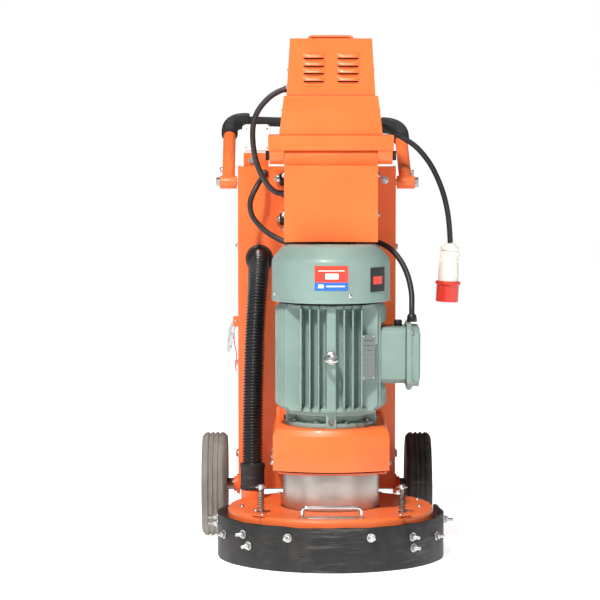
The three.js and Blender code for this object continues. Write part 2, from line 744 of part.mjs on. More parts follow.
function taperSides(geometry, lowHalf, highHalf) {
  const places = geometry.attributes.position;
  for (let i = 0; i < places.count; i++) {
    const share = (places.getZ(i) - CONSOLE.waist) / (CONSOLE.high - CONSOLE.waist);
    places.setX(i, places.getX(i) * (lowHalf + (highHalf - lowHalf) * share));
  }
  return geometry;
}

const slope = new THREE.Vector2(PANEL.bottom[0] - PANEL.top[0], PANEL.bottom[1] - PANEL.top[1]);
const slopeTurn = Math.atan2(-slope.y, slope.x);

// Lays a piece drawn about the Z axis onto the sloped panel, at x and a share of the way down it.
function ontoPanel(geometry, x, share) {
  geometry.rotateX(-slopeTurn);
  return geometry.translate(x, PANEL.top[0] + slope.x * share, PANEL.top[1] + slope.y * share);
}

const controls = {
  emergency_stop: { x: 52, share: 0.5, hole: 9 },
  speed_knob: { x: -52, share: 0.5, hole: 4 },
  start_button: { x: 0, share: 0.36, hole: 7 },
  stop_button: { x: 0, share: 0.68, hole: 7 },
};

function cabinet() {
  const shell = taperSides(across(cabinetProfile(0), -1, 1), 102, 94);
  const hollow = taperSides(across(cabinetProfile(THIN_SHEET), -1, 1), 99.5, 91.5);
  const length = slope.length();
  const window = ontoPanel(block(-78, 78, -length * 0.4, length * 0.4, -20, 20), 0, 0.5);
  return cut(shell, hollow, window);
}

function operatorPanel() {
  const half = slope.length() / 2 - 4;
  const plate = ontoPanel(
    block(-PANEL.halfWidth, PANEL.halfWidth, -half, half, GAP, GAP + PANEL.thickness), 0, 0.5,
  );
  const holes = Object.values(controls).map(({ x, share, hole }) => (
    ontoPanel(rodZ(hole + 0.4, 0, 0, -10, 10, 12), x, share)
  ));
  return cut(plate, ...holes);
}

// A knob or button on its stem; the profile starts below the panel and ends at the top.
function control(name, profile) {
  const { x, share } = controls[name];
  return ontoPanel(turned(profile, 14), x, share);
}

function guardBar() {
  const foot = PANEL.thickness + 2 * GAP;
  const rod = [[-50, 0, foot], [-50, 0, 19], [50, 0, 19], [50, 0, foot]];
  return ontoPanel(tubeAlong(bentPath(rod, 9), 4, 8, 14), 0, 0.12);
}

add("saddle_bracket", saddleBracket(), ORANGE);
add("console_base", consoleBase(), ORANGE);
add("console_cabinet", cabinet(), ORANGE);
add("operator_panel", operatorPanel(), BLACK_PLASTIC);
add("guard_bar", guardBar(), ORANGE);
add("emergency_stop", control("emergency_stop", [
  [0, -12], [9, -12], [9, 14], [19, 17], [20, 22], [16, 27], [0, 29],
]), RED_PLASTIC);
add("speed_knob", control("speed_knob", [
  [0, -8], [4, -8], [4, 5], [18, 5], [17, 20], [14, 22], [0, 22],
]), BLACK_PLASTIC);
const pushButton = [[0, -8], [7, -8], [7, 9], [11, 9], [11, 13], [0, 13]];
add("start_button", control("start_button", pushButton), GREEN_PLASTIC);
add("stop_button", control("stop_button", pushButton), RED_PLASTIC);

/* ------------------------------------------------------------------ leads, hose and supply cord */
const LEADS = {
  // from the left side of the console cabinet, out and down into the left side of the front box
  console_lead: [
    [-104, 60, 1077], [-122, 60, 1070], [-142, 58, 1057], [-167, 56, 1028], [-178, 55, 1000],
    [-180.5, 55, 965], [-176, 55, 925], [-165, 56, 888], [-146, 57, 855], [-129, 59, 839],
    [-109.5, 60, 834],
  ],
  // from the frame plate, round in a bow and in under the front box
  box_lead: [
    [-156, 229, 876], [-156, 205, 876], [-160, 182, 869], [-172, 160, 850], [-188, 150, 812],
    [-184, 150, 780], [-158, 150, 748], [-128, 148, 728], [-104, 142, 718], [-84, 130, 719.5],
  ],
  // from under the front box, out and down into the gland of the terminal box
  motor_lead: [
    [90, 112, 719.5], [112, 109, 718], [138, 98, 706], [162, 78, 680], [179, 50, 645], [187, 22, 605],
    [187, 4, 574], [187, 0, 556.3],
  ],
};

for (const [name, route] of Object.entries(LEADS)) {
  add(name, softTube(route, LEAD_RADIUS, 8, 14), RUBBER);
}

add("vacuum_hose", softTube([
  [-168, 228.5, 674], [-168, 200, 674], [-168.5, 160, 660], [-170, 132, 626], [-173, 117, 575],
  [-177, 110, 500], [-180, 109, 400], [-182, 110, 300], [HOSE_FOOT.x, HOSE_FOOT.y, 210],
  [HOSE_FOOT.x, HOSE_FOOT.y, 154],
], HOSE_RADIUS, 10, 18), BLACK_PLASTIC);

const cordExit = { x: 70, y: 210, z: 932 };
const CORD_ROUTE = [
  [70, 210, 932.3], [70.5, 210, 950], [75, 210, 968], [87, 210, 984], [105, 210.5, 991], [127, 211, 988],
  [150, 212, 975], [175, 213, 960.5], [199, 213, 945], [221, 213, 923], [241, 212, 895],
  [257, 211, 863], [270, 210, 828], [279, 209, 790], [284, 208, 752], [286.5, 208, 712.3],
];

function cordGland() {
  const { x, y, z } = cordExit;
  const low = FRONT_BOX.high + GAP;
  return turned([
    [0, low], [11, low], [11, low + 12], [9.5, low + 13], [9.5, z - 7], [8, z], [0, z],
  ], 12).translate(x, y, 0);
}

// The plug is drawn hanging from its cord entry at Z 0, then leaned to follow the cord.
const plugLean = THREE.MathUtils.degToRad(3.2);
function hung(geometry) {
  return geometry.rotateY(plugLean).translate(286.6, 208, 712);
}

add("cord_gland", cordGland(), BLACK_PLASTIC);
add("power_cord", softTube(CORD_ROUTE, LEAD_RADIUS, 8, 20), RUBBER);
add("plug_body", hung(turned([
  [0, -1], [14, -1], [17, -8], [22.5, -10], [22.5, -17], [20, -19], [23, -50], [24.5, -70],
  [24.5, -91], [0, -91],
], 16)), WHITE_PLASTIC);
add("plug_collar", hung(turned([
  [0, -91.3], [30, -91.3], [30, -98], [27, -99], [27, -140], [24, -140], [24, -112], [0, -112],
], 16)), RED_PLASTIC);

/* ------------------------------------------------------------------ placing the whole */
// The origin is on the floor under the middle of the machine, free cord left out.
const leftEdge = WHEEL.centres.left - WHEEL.width / 2;
const rearEdge = ELBOWS.left[1] + 20;
grinder.position.set(-(leftEdge + SKIRT.radius) / 2, (SKIRT.radius - rearEdge) / 2, 0);

export default grinder;
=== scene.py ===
"""A walk-behind concrete floor grinder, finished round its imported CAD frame.

The frame is in metres. Shapes here are drawn in millimetres about the grinding head's own
axis (X right, Y to the rear, Z up, floor at Z 0), and at() puts such a point into the frame.
"""

import json
import math

import bmesh
import bpy
from mathutils import Matrix, Vector


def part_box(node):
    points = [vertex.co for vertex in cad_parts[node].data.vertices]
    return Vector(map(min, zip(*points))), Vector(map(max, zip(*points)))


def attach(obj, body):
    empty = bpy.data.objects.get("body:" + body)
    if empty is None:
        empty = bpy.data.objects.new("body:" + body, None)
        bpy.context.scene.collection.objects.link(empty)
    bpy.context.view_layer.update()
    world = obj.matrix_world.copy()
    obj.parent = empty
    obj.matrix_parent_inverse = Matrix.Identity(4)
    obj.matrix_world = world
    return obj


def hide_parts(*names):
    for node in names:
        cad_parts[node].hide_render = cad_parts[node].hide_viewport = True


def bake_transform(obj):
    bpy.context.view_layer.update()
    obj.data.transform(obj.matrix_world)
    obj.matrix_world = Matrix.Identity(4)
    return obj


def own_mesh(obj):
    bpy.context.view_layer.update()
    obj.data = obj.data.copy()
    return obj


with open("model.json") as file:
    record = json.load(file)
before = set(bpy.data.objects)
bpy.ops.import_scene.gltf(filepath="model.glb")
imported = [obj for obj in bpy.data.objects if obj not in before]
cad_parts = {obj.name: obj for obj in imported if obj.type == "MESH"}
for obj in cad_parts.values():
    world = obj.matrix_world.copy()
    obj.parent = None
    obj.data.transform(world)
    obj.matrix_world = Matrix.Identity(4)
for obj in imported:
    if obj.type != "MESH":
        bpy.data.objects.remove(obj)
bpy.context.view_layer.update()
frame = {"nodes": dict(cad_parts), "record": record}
SCENE = bpy.context.scene
BODY_OF = {node: body for body, nodes in frame["record"]["behaviour"]["bodies"].items()
           for node in nodes}
SLOT_OF = {part["node"]: part["material_slot"] for part in frame["record"]["subparts"]}

# ------------------------------------------------------------------ places and driving sizes
MM = 0.001
_low, _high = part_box("head_drum")
AXIS = (_low + _high) / 2

PIVOT = (250, 855)             # handlebar pivot, Y and Z
ELBOWS = ((-243, 440, 1001), (174, 440, 988))
AXLE = (280, 125)              # Y and Z
FRAME_SIDES = ((-219.2, -1), (157.7, 1))    # X of each outer face and the way it faces
HOSE_PORT = (-168, 674)        # X and Z
WHEEL_X = {"left": -276, "right": 214}
WHEEL_RADIUS, WHEEL_WIDTH, RIM_RADIUS = 125, 60, 80
MOTOR_LOW, MOTOR_HIGH, MOTOR_CORE, FIN_TIP = 343, 587, 97, 128
COWL_RADIUS = 136
SKIRT_RADIUS, SKIRT_WALL, SKIRT_HEIGHT, SKIRT_HALF = 262, 8, 102, 112
SPRING_LOW, SPRING_HIGH, FLOAT_TRAVEL = 115.6, 174.4, 12
FLOAT_X, FLOAT_Y = 160, -135
HOSE_FOOT = (-182.6, 110)
HOSE_RADIUS, HOSE_PITCH = 24.2, 7.0
PANEL_TOP, PANEL_LOW = Vector((0, 46, 1192)), Vector((0, 150, 1110))
# Spots on the sloped panel: X, and the share of the way from its top edge to its low edge.
STOP_SPOT, DIAL_SPOT, DISPLAY_SPOT = (52, 0.5), (-52, 0.5), (0, 0.225)
BUTTON_SHARES = {"start": 0.36, "stop": 0.68}
CORD_DIAMETER, CORD_LENGTH = 0.013, 0.44    # metres


def at(point):
    """A point in millimetres about the head's axis, as a place in the frame."""
    return Vector((AXIS.x + point[0] * MM, AXIS.y + point[1] * MM, point[2] * MM))


# ------------------------------------------------------------------ camera, light and floor
def camera():
    data = bpy.data.cameras.new("camera")
    data.lens, data.sensor_width = 161.8, 36
    obj = bpy.data.objects.new("camera", data)
    obj.location = (-0.049, -6.299, 1.051)
    obj.rotation_euler = (math.radians(85.76), 0, 0)
    SCENE.collection.objects.link(obj)
    SCENE.camera = obj


def lamp(name, place, target, size, power, tint=(1, 1, 1)):
    data = bpy.data.lights.new(name, "AREA")
    data.shape, data.size, data.energy, data.color = "DISK", size, power, tint
    obj = bpy.data.objects.new(name, data)
    obj.location = place
    obj.rotation_euler = (Vector(target) - Vector(place)).to_track_quat("-Z", "Y").to_euler()
    SCENE.collection.objects.link(obj)


def surroundings():
    lamp("key", (-1.15, -3.9, 5.3), (0, -0.1, 0.6), 0.7, 470, (1, 0.975, 0.94))
    lamp("fill", (3.2, -4.4, 1.2), (0, 0, 0.6), 2.6, 14)
    lamp("side", (-3.4, -2.4, 1.4), (0, 0, 0.6), 2.0, 16)
    world = bpy.data.worlds.new("studio")
    world.use_nodes = True
    nodes, links = world.node_tree.nodes, world.node_tree.links
    nodes.clear()
    seen, cast, mix, out = (nodes.new("ShaderNode" + kind) for kind in (
        "Background", "Background", "MixShader", "OutputWorld"))
    seen.inputs["Color"].default_value = (1, 1, 1, 1)
    cast.inputs["Color"].default_value = (0.93, 0.96, 1, 1)
    cast.inputs["Strength"].default_value = 0.2
    rays = nodes.new("ShaderNodeLightPath")
    links.new(rays.outputs["Is Camera Ray"], mix.inputs[0])
    links.new(cast.outputs[0], mix.inputs[1])
    links.new(seen.outputs[0], mix.inputs[2])
    links.new(mix.outputs[0], out.inputs[0])
    SCENE.world = world
    SCENE.view_settings.view_transform = "Standard"


# ------------------------------------------------------------------ materials
def srgb(red, green, blue):
    """An everyday 0-255 colour as the linear one that shaders use."""
    return tuple(c / 12.92 if c <= 0.04045 else ((c + 0.055) / 1.055) ** 2.4
                 for c in (red / 255, green / 255, blue / 255)) + (1,)


class Graph:
    """Shader nodes of one material, added in a line or two each."""

    def __init__(self, name):
        self.material = bpy.data.materials.new(name)
        self.material.use_nodes = True
        self.tree = self.material.node_tree
        self.tree.nodes.clear()

    def put(self, kind, settings=None, **inputs):
        node = self.tree.nodes.new("ShaderNode" + kind)
        for key, value in (settings or {}).items():
            setattr(node, key, value)
        for key, value in inputs.items():
            place = node.inputs[int(key[1:]) if key[0] == "i" and key[1:].isdigit()
                                else key.replace("_", " ")]
            if isinstance(value, bpy.types.NodeSocket):
                self.tree.links.new(value, place)
            else:
                place.default_value = value
        return node

    def math(self, operation, *values, clamp=False):
        inputs = {f"i{i}": v for i, v in enumerate(values)}
        return self.put("Math", {"operation": operation, "use_clamp": clamp}, **inputs).outputs[0]

    def blend(self, share, a, b, mode="MIX"):
        node = self.put("Mix", {"data_type": "RGBA", "blend_type": mode})
        for place, value in ((0, share), (6, a), (7, b)):
            if isinstance(value, bpy.types.NodeSocket):
                self.tree.links.new(value, node.inputs[place])
            else:
                node.inputs[place].default_value = value
        return node.outputs[2]

    def noise(self, where, scale, detail=3.0, rough=0.55):
        return self.put("TexNoise", Vector=where, Scale=scale, Detail=detail,
                        Roughness=rough).outputs["Fac"]

    def ramp(self, value, low, high, out_low=0.0, out_high=1.0):
        node = self.put("MapRange", {"interpolation_type": "SMOOTHSTEP"}, Value=value)
        for key, number in (("From Min", low), ("From Max", high),
                            ("To Min", out_low), ("To Max", out_high)):
            node.inputs[key].default_value = number
        return node.outputs[0]


def finish(name, colour, rough, metal=0.0, vary=0.08, grain=(700, 0.08), wear=0.0,
           wear_colour=None, dust=0.25, brushed=None, coat=0.0, specular=0.5, extra=None):
    """One surface: its colour drifts, its edges wear, dust lies low and on level faces, and the
    roughness and a fine bump follow the same noises. brushed stretches the grain along an axis."""
    g = Graph(name)
    where = g.put("TexCoord").outputs["Object"]
    cloud = g.noise(where, 7, 4)
    speck = g.noise(where, 160, 3, 0.7)
    fine_place = where
    if brushed:
        fine_place = g.put("Mapping", Vector=where, Scale=brushed).outputs[0]
    fine = g.noise(fine_place, grain[0], 2)
    dark = tuple(c * (1 - 2 * vary) for c in colour[:3]) + (1,)
    light = tuple(min(1, c * (1 + vary)) for c in colour[:3]) + (1,)
    base = g.blend(g.ramp(cloud, 0.3, 0.7), dark, light)
    if brushed:
        base = g.blend(g.ramp(fine, 0.3, 0.7, 0, 0.35), base, dark)
    roughness = g.math("ADD", g.ramp(cloud, 0.25, 0.75, rough - 0.06, rough + 0.07),
                       g.ramp(fine, 0.2, 0.8, -0.03, 0.04))
    if wear:
        flat = g.put("NewGeometry").outputs["Normal"]
        soft = g.put("Bevel", {"samples": 4}, Radius=0.0022).outputs[0]
        dot = g.put("VectorMath", {"operation": "DOT_PRODUCT"}, i0=flat, i1=soft).outputs["Value"]
        edge = g.ramp(dot, 0.995, 0.93)
        chipped = g.math("MULTIPLY", edge, g.ramp(g.noise(where, 45, 5, 0.65), 0.46, 0.6, 0, wear))
        base = g.blend(chipped, base, wear_colour or (0.22, 0.2, 0.19, 1))
        scuff = g.math("MULTIPLY", g.ramp(speck, 0.66, 0.74, 0, 1),
                       g.ramp(cloud, 0.5, 0.62, 0, 0.5))
        base = g.blend(g.math("MULTIPLY", scuff, wear), base, light)
    if extra:
        base, roughness = extra(g, where, base, roughness)
    if dust:
        apart = g.put("SeparateXYZ", Vector=where).outputs
        up = g.put("SeparateXYZ", Vector=g.put("NewGeometry").outputs["Normal"]).outputs[2]
        low = g.ramp(apart[2], 0.42, 0.02, 0, 0.55)
        level = g.ramp(up, 0.55, 0.95, 0, 0.6)
        lying = g.math("MULTIPLY", g.math("ADD", low, level),
                       g.ramp(g.noise(where, 24, 5, 0.7), 0.38, 0.72, 0.1, 1))
        lying = g.math("MULTIPLY", lying, dust, clamp=True)
        base = g.blend(lying, base, srgb(196, 186, 172))
        roughness = g.math("ADD", roughness, g.math("MULTIPLY", lying, 0.4), clamp=True)
    bump = g.put("Bump", Height=fine, Strength=grain[1], Distance=0.0006).outputs[0]
    wavy = g.put("Bump", Height=cloud, Strength=0.05, Distance=0.002, Normal=bump).outputs[0]
    shader = g.put("BsdfPrincipled", Base_Color=base, Roughness=roughness, Metallic=metal,
                   Normal=wavy)
    shader.inputs["Coat Weight"].default_value = coat
    shader.inputs["Specular IOR Level"].default_value = specular
    g.put("OutputMaterial", Surface=shader.outputs[0])
    return g.material


def corroded(g, where, base, roughness):
    """Dull grey blotches of old zinc plate."""
    blotch = g.ramp(g.noise(where, 90, 4, 0.7), 0.5, 0.66, 0, 0.5)
    return g.blend(blotch, base, srgb(120, 116, 110)), g.math("ADD", roughness,
                                                               g.math("MULTIPLY", blotch, 0.3))


def oily(g, where, base, roughness):
    """A dark, slightly glossier film in patches."""
    film = g.ramp(g.noise(where, 18, 3), 0.42, 0.62)
    return g.blend(film, base, srgb(58, 52, 46)), g.math("SUBTRACT", roughness,
                                                         g.math("MULTIPLY", film, 0.12))


def scuffed_rubber(g, where, base, roughness):
    """Pale horizontal rubs that a skirt gets from the floor and from walls."""
    long = g.put("Mapping", Vector=where, Scale=(6, 6, 90)).outputs[0]
    rub = g.math("MULTIPLY", g.ramp(g.noise(long, 1.6, 5, 0.65), 0.52, 0.68),
                 g.ramp(g.noise(where, 9, 2), 0.42, 0.6, 0, 0.32))
    return g.blend(rub, base, srgb(112, 108, 104)), g.math("ADD", roughness,
                                                           g.math("MULTIPLY", rub, 0.2))


def worn_tread(g, where, base, roughness):
    """Dark rubbed bands and stains on a tread grey with concrete dust."""
    band = g.put("Mapping", Vector=where, Scale=(70, 3, 3)).outputs[0]
    stain = g.ramp(g.noise(band, 1.4, 4, 0.6), 0.5, 0.68, 0, 0.55)
    return g.blend(stain, base, srgb(74, 70, 66)), roughness


FINISH = {name: finish(name, srgb(*colour), rough, **more) for name, colour, rough, more in (
    ("orange_paint", (243, 110, 46), 0.4, dict(vary=0.045, wear=0.6,
        wear_colour=srgb(150, 84, 52), dust=0.1, coat=0.2)),
    ("motor_paint", (128, 152, 145), 0.42, dict(vary=0.07, wear=0.5,
        wear_colour=srgb(196, 208, 202), grain=(420, 0.22), dust=0.14, coat=0.1)),
    ("stainless", (196, 190, 184), 0.38, dict(metal=1.0, vary=0.06, brushed=(1, 1, 60),
        grain=(22, 0.06), dust=0.2)),
    ("zinc", (206, 206, 206), 0.3, dict(metal=1.0, vary=0.08, grain=(900, 0.08), dust=0.25,
        extra=corroded)),
    ("chrome", (222, 222, 224), 0.12, dict(metal=1.0, vary=0.03, dust=0.1)),
    ("steel", (142, 140, 138), 0.4, dict(metal=1.0, vary=0.12, grain=(600, 0.15), dust=0.6,
        extra=oily)),
    ("copper", (170, 96, 58), 0.4, dict(metal=0.9, vary=0.15, dust=0.1)),
    ("rubber", (26, 26, 28), 0.55, dict(vary=0.12, grain=(520, 0.3), dust=0.06, specular=0.4,
        extra=scuffed_rubber)),
    ("hose", (24, 25, 28), 0.27, dict(vary=0.1, grain=(600, 0.08), dust=0.06)),
    # The right tyre's near-black is painted shade: it is the same dusty grey tyre as tyre_dusty,
    # darkened for the shadow that the column and head cast on it.
    ("tyre", (48, 48, 50), 0.75, dict(vary=0.15, grain=(380, 0.45), dust=0.12, specular=0.3,
        extra=scuffed_rubber)),
    ("tyre_dusty", (128, 125, 120), 0.85, dict(vary=0.12, grain=(380, 0.45), dust=0.3,
        specular=0.2, extra=worn_tread)),
    ("spring", (112, 92, 78), 0.42, dict(metal=0.9, vary=0.2, grain=(700, 0.2), dust=0.1)),
    ("cable", (33, 34, 37), 0.5, dict(vary=0.12, grain=(700, 0.15), dust=0.2)),
    ("black_plastic", (30, 31, 33), 0.45, dict(vary=0.1, grain=(900, 0.2), dust=0.2)),
    ("foam", (40, 41, 44), 0.78, dict(vary=0.14, grain=(340, 0.6), dust=0.2, specular=0.25)),
    ("white_plastic", (231, 229, 222), 0.42, dict(vary=0.04, grain=(700, 0.1), dust=0.2)),
    ("red_plastic", (214, 54, 38), 0.34, dict(vary=0.05, grain=(800, 0.06), dust=0.12, coat=0.2)),
    ("green_plastic", (38, 150, 74), 0.32, dict(vary=0.05, grain=(800, 0.06), dust=0.1, coat=0.2)),
    ("yellow_plastic", (246, 200, 36), 0.4, dict(vary=0.04, grain=(800, 0.08), dust=0.15)),
    ("red_label", (231, 58, 36), 0.3, dict(vary=0.04, grain=(300, 0.05), dust=0.15, coat=0.4)),
    ("blue_label", (28, 104, 190), 0.3, dict(vary=0.04, grain=(300, 0.05), dust=0.15, coat=0.4)),
    ("white_label", (240, 238, 232), 0.35, dict(vary=0.03, dust=0.15)),
    ("plate", (132, 140, 138), 0.4, dict(metal=0.8, vary=0.08, grain=(500, 0.12), dust=0.2)),
    ("screen", (20, 26, 24), 0.12, dict(vary=0.1, dust=0.08, coat=0.6)),
    # A dark red-brown that stands for orange paint in deep shade: painted shade, used to fill the
    # louvre slits.
    ("dark", (46, 20, 12), 0.85, dict(vary=0.2, dust=0.1, specular=0.2)),
)}


# ------------------------------------------------------------------ shapes: (corners, faces)
def joined(*shapes):
    corners, faces = [], []
    for points, sides in shapes:
        start = len(corners)
        corners.extend(points)
        faces.extend([tuple(start + i for i in face) for face in sides])
    return corners, faces


def moved(shape, matrix):
    return [tuple(matrix @ Vector(p)) for p in shape[0]], shape[1]


def aimed(place, direction, roll=0.0):
    """The matrix that takes the Z axis to a direction and the origin to a place."""
    turn = Vector(direction).to_track_quat("Z", "Y").to_matrix().to_4x4()
    return Matrix.Translation(place) @ turn @ Matrix.Rotation(roll, 4, "Z")


def filleted(points, radius, steps=4, closed=True):
    """A 2-D outline with each corner rounded; radius is one number or one per corner."""
    made, count = [], len(points)
    for i, point in enumerate(points):
        reach = radius[i] if hasattr(radius, "__len__") else radius
        if reach <= 0 or (not closed and i in (0, count - 1)):
            made.append(tuple(point))
            continue
        corner = Vector(point)
        before, after = Vector(points[i - 1]) - corner, Vector(points[(i + 1) % count]) - corner
        a = corner + before.normalized() * min(reach, before.length * 0.49)
        b = corner + after.normalized() * min(reach, after.length * 0.49)
        for k in range(steps + 1):
            t = k / steps
            made.append(tuple(a * (1 - t) ** 2 + corner * 2 * t * (1 - t) + b * t ** 2))
    return made


def revolved(profile, sides=64, closed=False):
    """[radius, height] points turned about Z. An end on the axis closes to a point."""
    corners, rings = [], []
    for radius, height in profile:
        if radius < 1e-6:
            rings.append([len(corners)])
            corners.append((0, 0, height))
            continue
        rings.append([len(corners) + i for i in range(sides)])
        corners += [(radius * math.cos(2 * math.pi * i / sides),
                     radius * math.sin(2 * math.pi * i / sides), height) for i in range(sides)]
    faces = []
    for a, b in list(zip(rings, rings[1:])) + ([(rings[-1], rings[0])] if closed else []):
        for i in range(sides):
            j = (i + 1) % sides
            if len(a) == 1 and len(b) > 1:
                faces.append((a[0], b[i], b[j]))
            elif len(b) == 1 and len(a) > 1:
                faces.append((a[i], b[0], a[j]))
            elif len(a) > 1:
                faces.append((a[i], b[i], b[j], a[j]))
    return corners, faces


def rounded_ring(outline, radius, steps, sides, place):
    """A closed ring with rounded corners, turned about its own axis and put in place."""
    return moved(revolved(filleted(outline, radius, steps), sides, closed=True), place)


def extruded(outline, low, high, axis="Z"):
    """An outline carried along an axis: XY outlines along Z, YZ along X, XZ along Y."""
    def spot(point, height):
        a, b = point
        return {"Z": (a, b, height), "X": (height, a, b), "Y": (a, height, b)}[axis]
    count = len(outline)
    corners = [spot(p, low) for p in outline] + [spot(p, high) for p in outline]
    faces = [tuple(range(count))[::-1], tuple(range(count, 2 * count))]
    faces += [(i, (i + 1) % count, count + (i + 1) % count, count + i) for i in range(count)]
    return corners, faces


def block(x0, x1, y0, y1, z0, z1):
    return extruded([(x0, y0), (x1, y0), (x1, y1), (x0, y1)], z0, z1)


def along(path, radius, sides=16):
    """A tube on a path; radius is one number or one for each point."""
    path = [Vector(p) for p in path]
    count = len(path)
    sizes = radius if hasattr(radius, "__len__") else [radius] * count
    ahead = [(path[min(i + 1, count - 1)] - path[max(i - 1, 0)]).normalized()
             for i in range(count)]
    side = ahead[0].orthogonal().normalized()
    corners, faces = [], []
    for i in range(count):
        side = (side - ahead[i] * side.dot(ahead[i])).normalized()
        other = ahead[i].cross(side)
        for k in range(sides):
            turn = 2 * math.pi * k / sides
            corners.append(tuple(path[i] + (side * math.cos(turn) + other * math.sin(turn))
                                 * sizes[i]))
    for i in range(count - 1):
        for k in range(sides):
            m = (k + 1) % sides
            a, b = i * sides, (i + 1) * sides
            faces.append((a + k, a + m, b + m, b + k))
    faces += [tuple(range(sides))[::-1], tuple(range((count - 1) * sides, count * sides))]
    return corners, faces


def smooth_path(points, steps=10):
    """A centripetal Catmull-Rom line through the points."""
    points = [Vector(p) for p in points]
    ends = [points[0] * 2 - points[1]] + points + [points[-1] * 2 - points[-2]]
    made = []
    for i in range(1, len(ends) - 2):
        p = ends[i - 1:i + 3]
        t = [0.0]
        for a, b in zip(p, p[1:]):
            t.append(t[-1] + math.sqrt((b - a).length))
        for k in range(steps):
            s = t[1] + (t[2] - t[1]) * k / steps
            a = [between(p[j], p[j + 1], t[j], t[j + 1], s) for j in range(3)]
            b = [between(a[j], a[j + 1], t[j], t[j + 2], s) for j in range(2)]
            made.append(between(b[0], b[1], t[1], t[2], s))
    return made + [points[-1]]


def between(a, b, start, end, s):
    return (a * (end - s) + b * (s - start)) / (end - start)


def bent_path(points, reach, steps=8):
    """Straight runs joined by bends."""
    points = [Vector(p) for p in points]
    made = [points[0]]
    for before, corner, after in zip(points, points[1:], points[2:]):
        a = corner + (before - corner).normalized() * reach
        b = corner + (after - corner).normalized() * reach
        made += [a * (1 - k / steps) ** 2 + corner * 2 * (k / steps) * (1 - k / steps)
                 + b * (k / steps) ** 2 for k in range(steps + 1)]
    return made + [points[-1]]


def spaced(path, step):
    """The same line with its points a step apart."""
    marks, run = [0.0], 0.0
    for a, b in zip(path, path[1:]):
        run += (b - a).length
        marks.append(run)
    count, made, i = max(2, round(run / step)), [], 0
    for k in range(count + 1):
        want = run * k / count
        while i < len(path) - 2 and marks[i + 1] < want:
            i += 1
        made.append(path[i].lerp(path[i + 1], (want - marks[i]) / (marks[i + 1] - marks[i])))
    return made


def on_drum(radius, x0, x1, z0, z1, rise=0.6, steps=16):
    """A thin patch lying on the front of a drum of that radius."""
    outline = []
    for r, way in ((radius + rise, 1), (radius + 0.05, -1)):
        for k in range(steps + 1):
            x = x0 + (x1 - x0) * (k / steps if way > 0 else 1 - k / steps)
            outline.append((x, -math.sqrt(r * r - x * x)))
    return extruded(outline, z0, z1)


# ------------------------------------------------------------------ pieces
def piece(name, body, shape, look, stands_for=(), bevel=0.0, sharp=35):
    """A named piece in the frame with its finish, riding on its body."""
    mesh = bpy.data.meshes.new(name)
    mesh.from_pydata([at(p) for p in shape[0]], [], shape[1])
    return dressed(name, body, mesh, look, stands_for, bevel, sharp)


def dressed(name, body, mesh, look, stands_for=(), bevel=0.0, sharp=35):
    work = bmesh.new()
    work.from_mesh(mesh)
    bmesh.ops.recalc_face_normals(work, faces=work.faces)
    work.to_mesh(mesh)
    work.free()
    mesh.shade_smooth()
    mesh.set_sharp_from_angle(angle=math.radians(sharp))
    mesh.materials.clear()
    mesh.materials.append(FINISH[look])
    obj = bpy.data.objects.new(name, mesh)
    SCENE.collection.objects.link(obj)
    if bevel:
        edge = obj.modifiers.new("edges", "BEVEL")
        edge.width, edge.segments, edge.harden_normals = bevel * MM, 2, True
        edge.angle_limit = math.radians(sharp)
    if body:
        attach(obj, body)
    if stands_for:
        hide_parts(*stands_for)
    return obj


def from_cad(node, bevel, look=None):
    """A CAD node's own shape with its flat faces made whole and its edges broken."""
    mesh = frame["nodes"][node].data.copy()
    work = bmesh.new()
    work.from_mesh(mesh)
    bmesh.ops.remove_doubles(work, verts=work.verts, dist=1e-5)
    bmesh.ops.dissolve_limit(work, angle_limit=math.radians(0.5), verts=work.verts,
                             edges=work.edges)
    clean = bpy.data.meshes.new(node)
    work.to_mesh(clean)
    work.free()
    return dressed(node + "_finished", BODY_OF[node], clean, look or SLOT_OF[node], [node], bevel)


def hex_head(place, direction, across=13.0, height=6.0, washer=9.5):
    head = revolved([(0, height), (0.45 * across, height), (0.575 * across, height - 1),
                     (0.575 * across, 1.4), (0, 1.4)], 6)
    ring = revolved([(0, 1.6), (washer - 0.4, 1.6), (washer, 1.2), (washer, 0), (0, 0)], 24)
    return moved(joined(head, ring), aimed(place, direction, roll=0.3))


def dome_head(place, direction, radius=7.0, height=4.5):
    profile = [(0, height)] + [(radius * math.sin(t * math.pi / 12),
                                height * math.cos(t * math.pi / 12)) for t in range(1, 7)]
    return moved(revolved(profile + [(0, 0)], 20), aimed(place, direction))


def stud(place, direction, length, radius=4.0):
    """A bolt's free end: threads, nut and washer."""
    profile = [(0, length), (radius - 0.8, length), (radius, length - 0.8)]
    turns = int((length - 9) / 1.25)
    for k in range(turns):
        low = length - 0.8 - 1.25 * k
        profile += [(radius - 0.5, low - 0.6), (radius, low - 1.25)]
    profile += [(radius, 2), (0, 2)]
    nut = revolved([(0, 8.2), (6.2, 8.2), (7.5, 7.3), (7.5, 2.4), (6.2, 1.6), (0, 1.6)], 6)
    ring = revolved([(0, 1.7), (9.6, 1.7), (10, 1.3), (10, 0), (0, 0)], 24)
    return moved(joined(revolved(profile, 14), nut, ring), aimed(place, direction, roll=0.4))


def gland(place, direction, size, length):
    """A cable gland: hexagon body, ribbed cap and rubber lip."""
    body = revolved([(0, 6), (size, 6), (size, 0.3), (0, 0.3)], 6)
    cap = revolved(filleted([(size * 0.93, 6), (size * 0.93, length - 5), (size * 0.68, length),
                             (size * 0.58, length)], [0, 3, 1, 0], 3, closed=False)
                   + [(size * 0.58, 6)], 24, closed=True)
    return moved(joined(body, cap), aimed(place, direction))


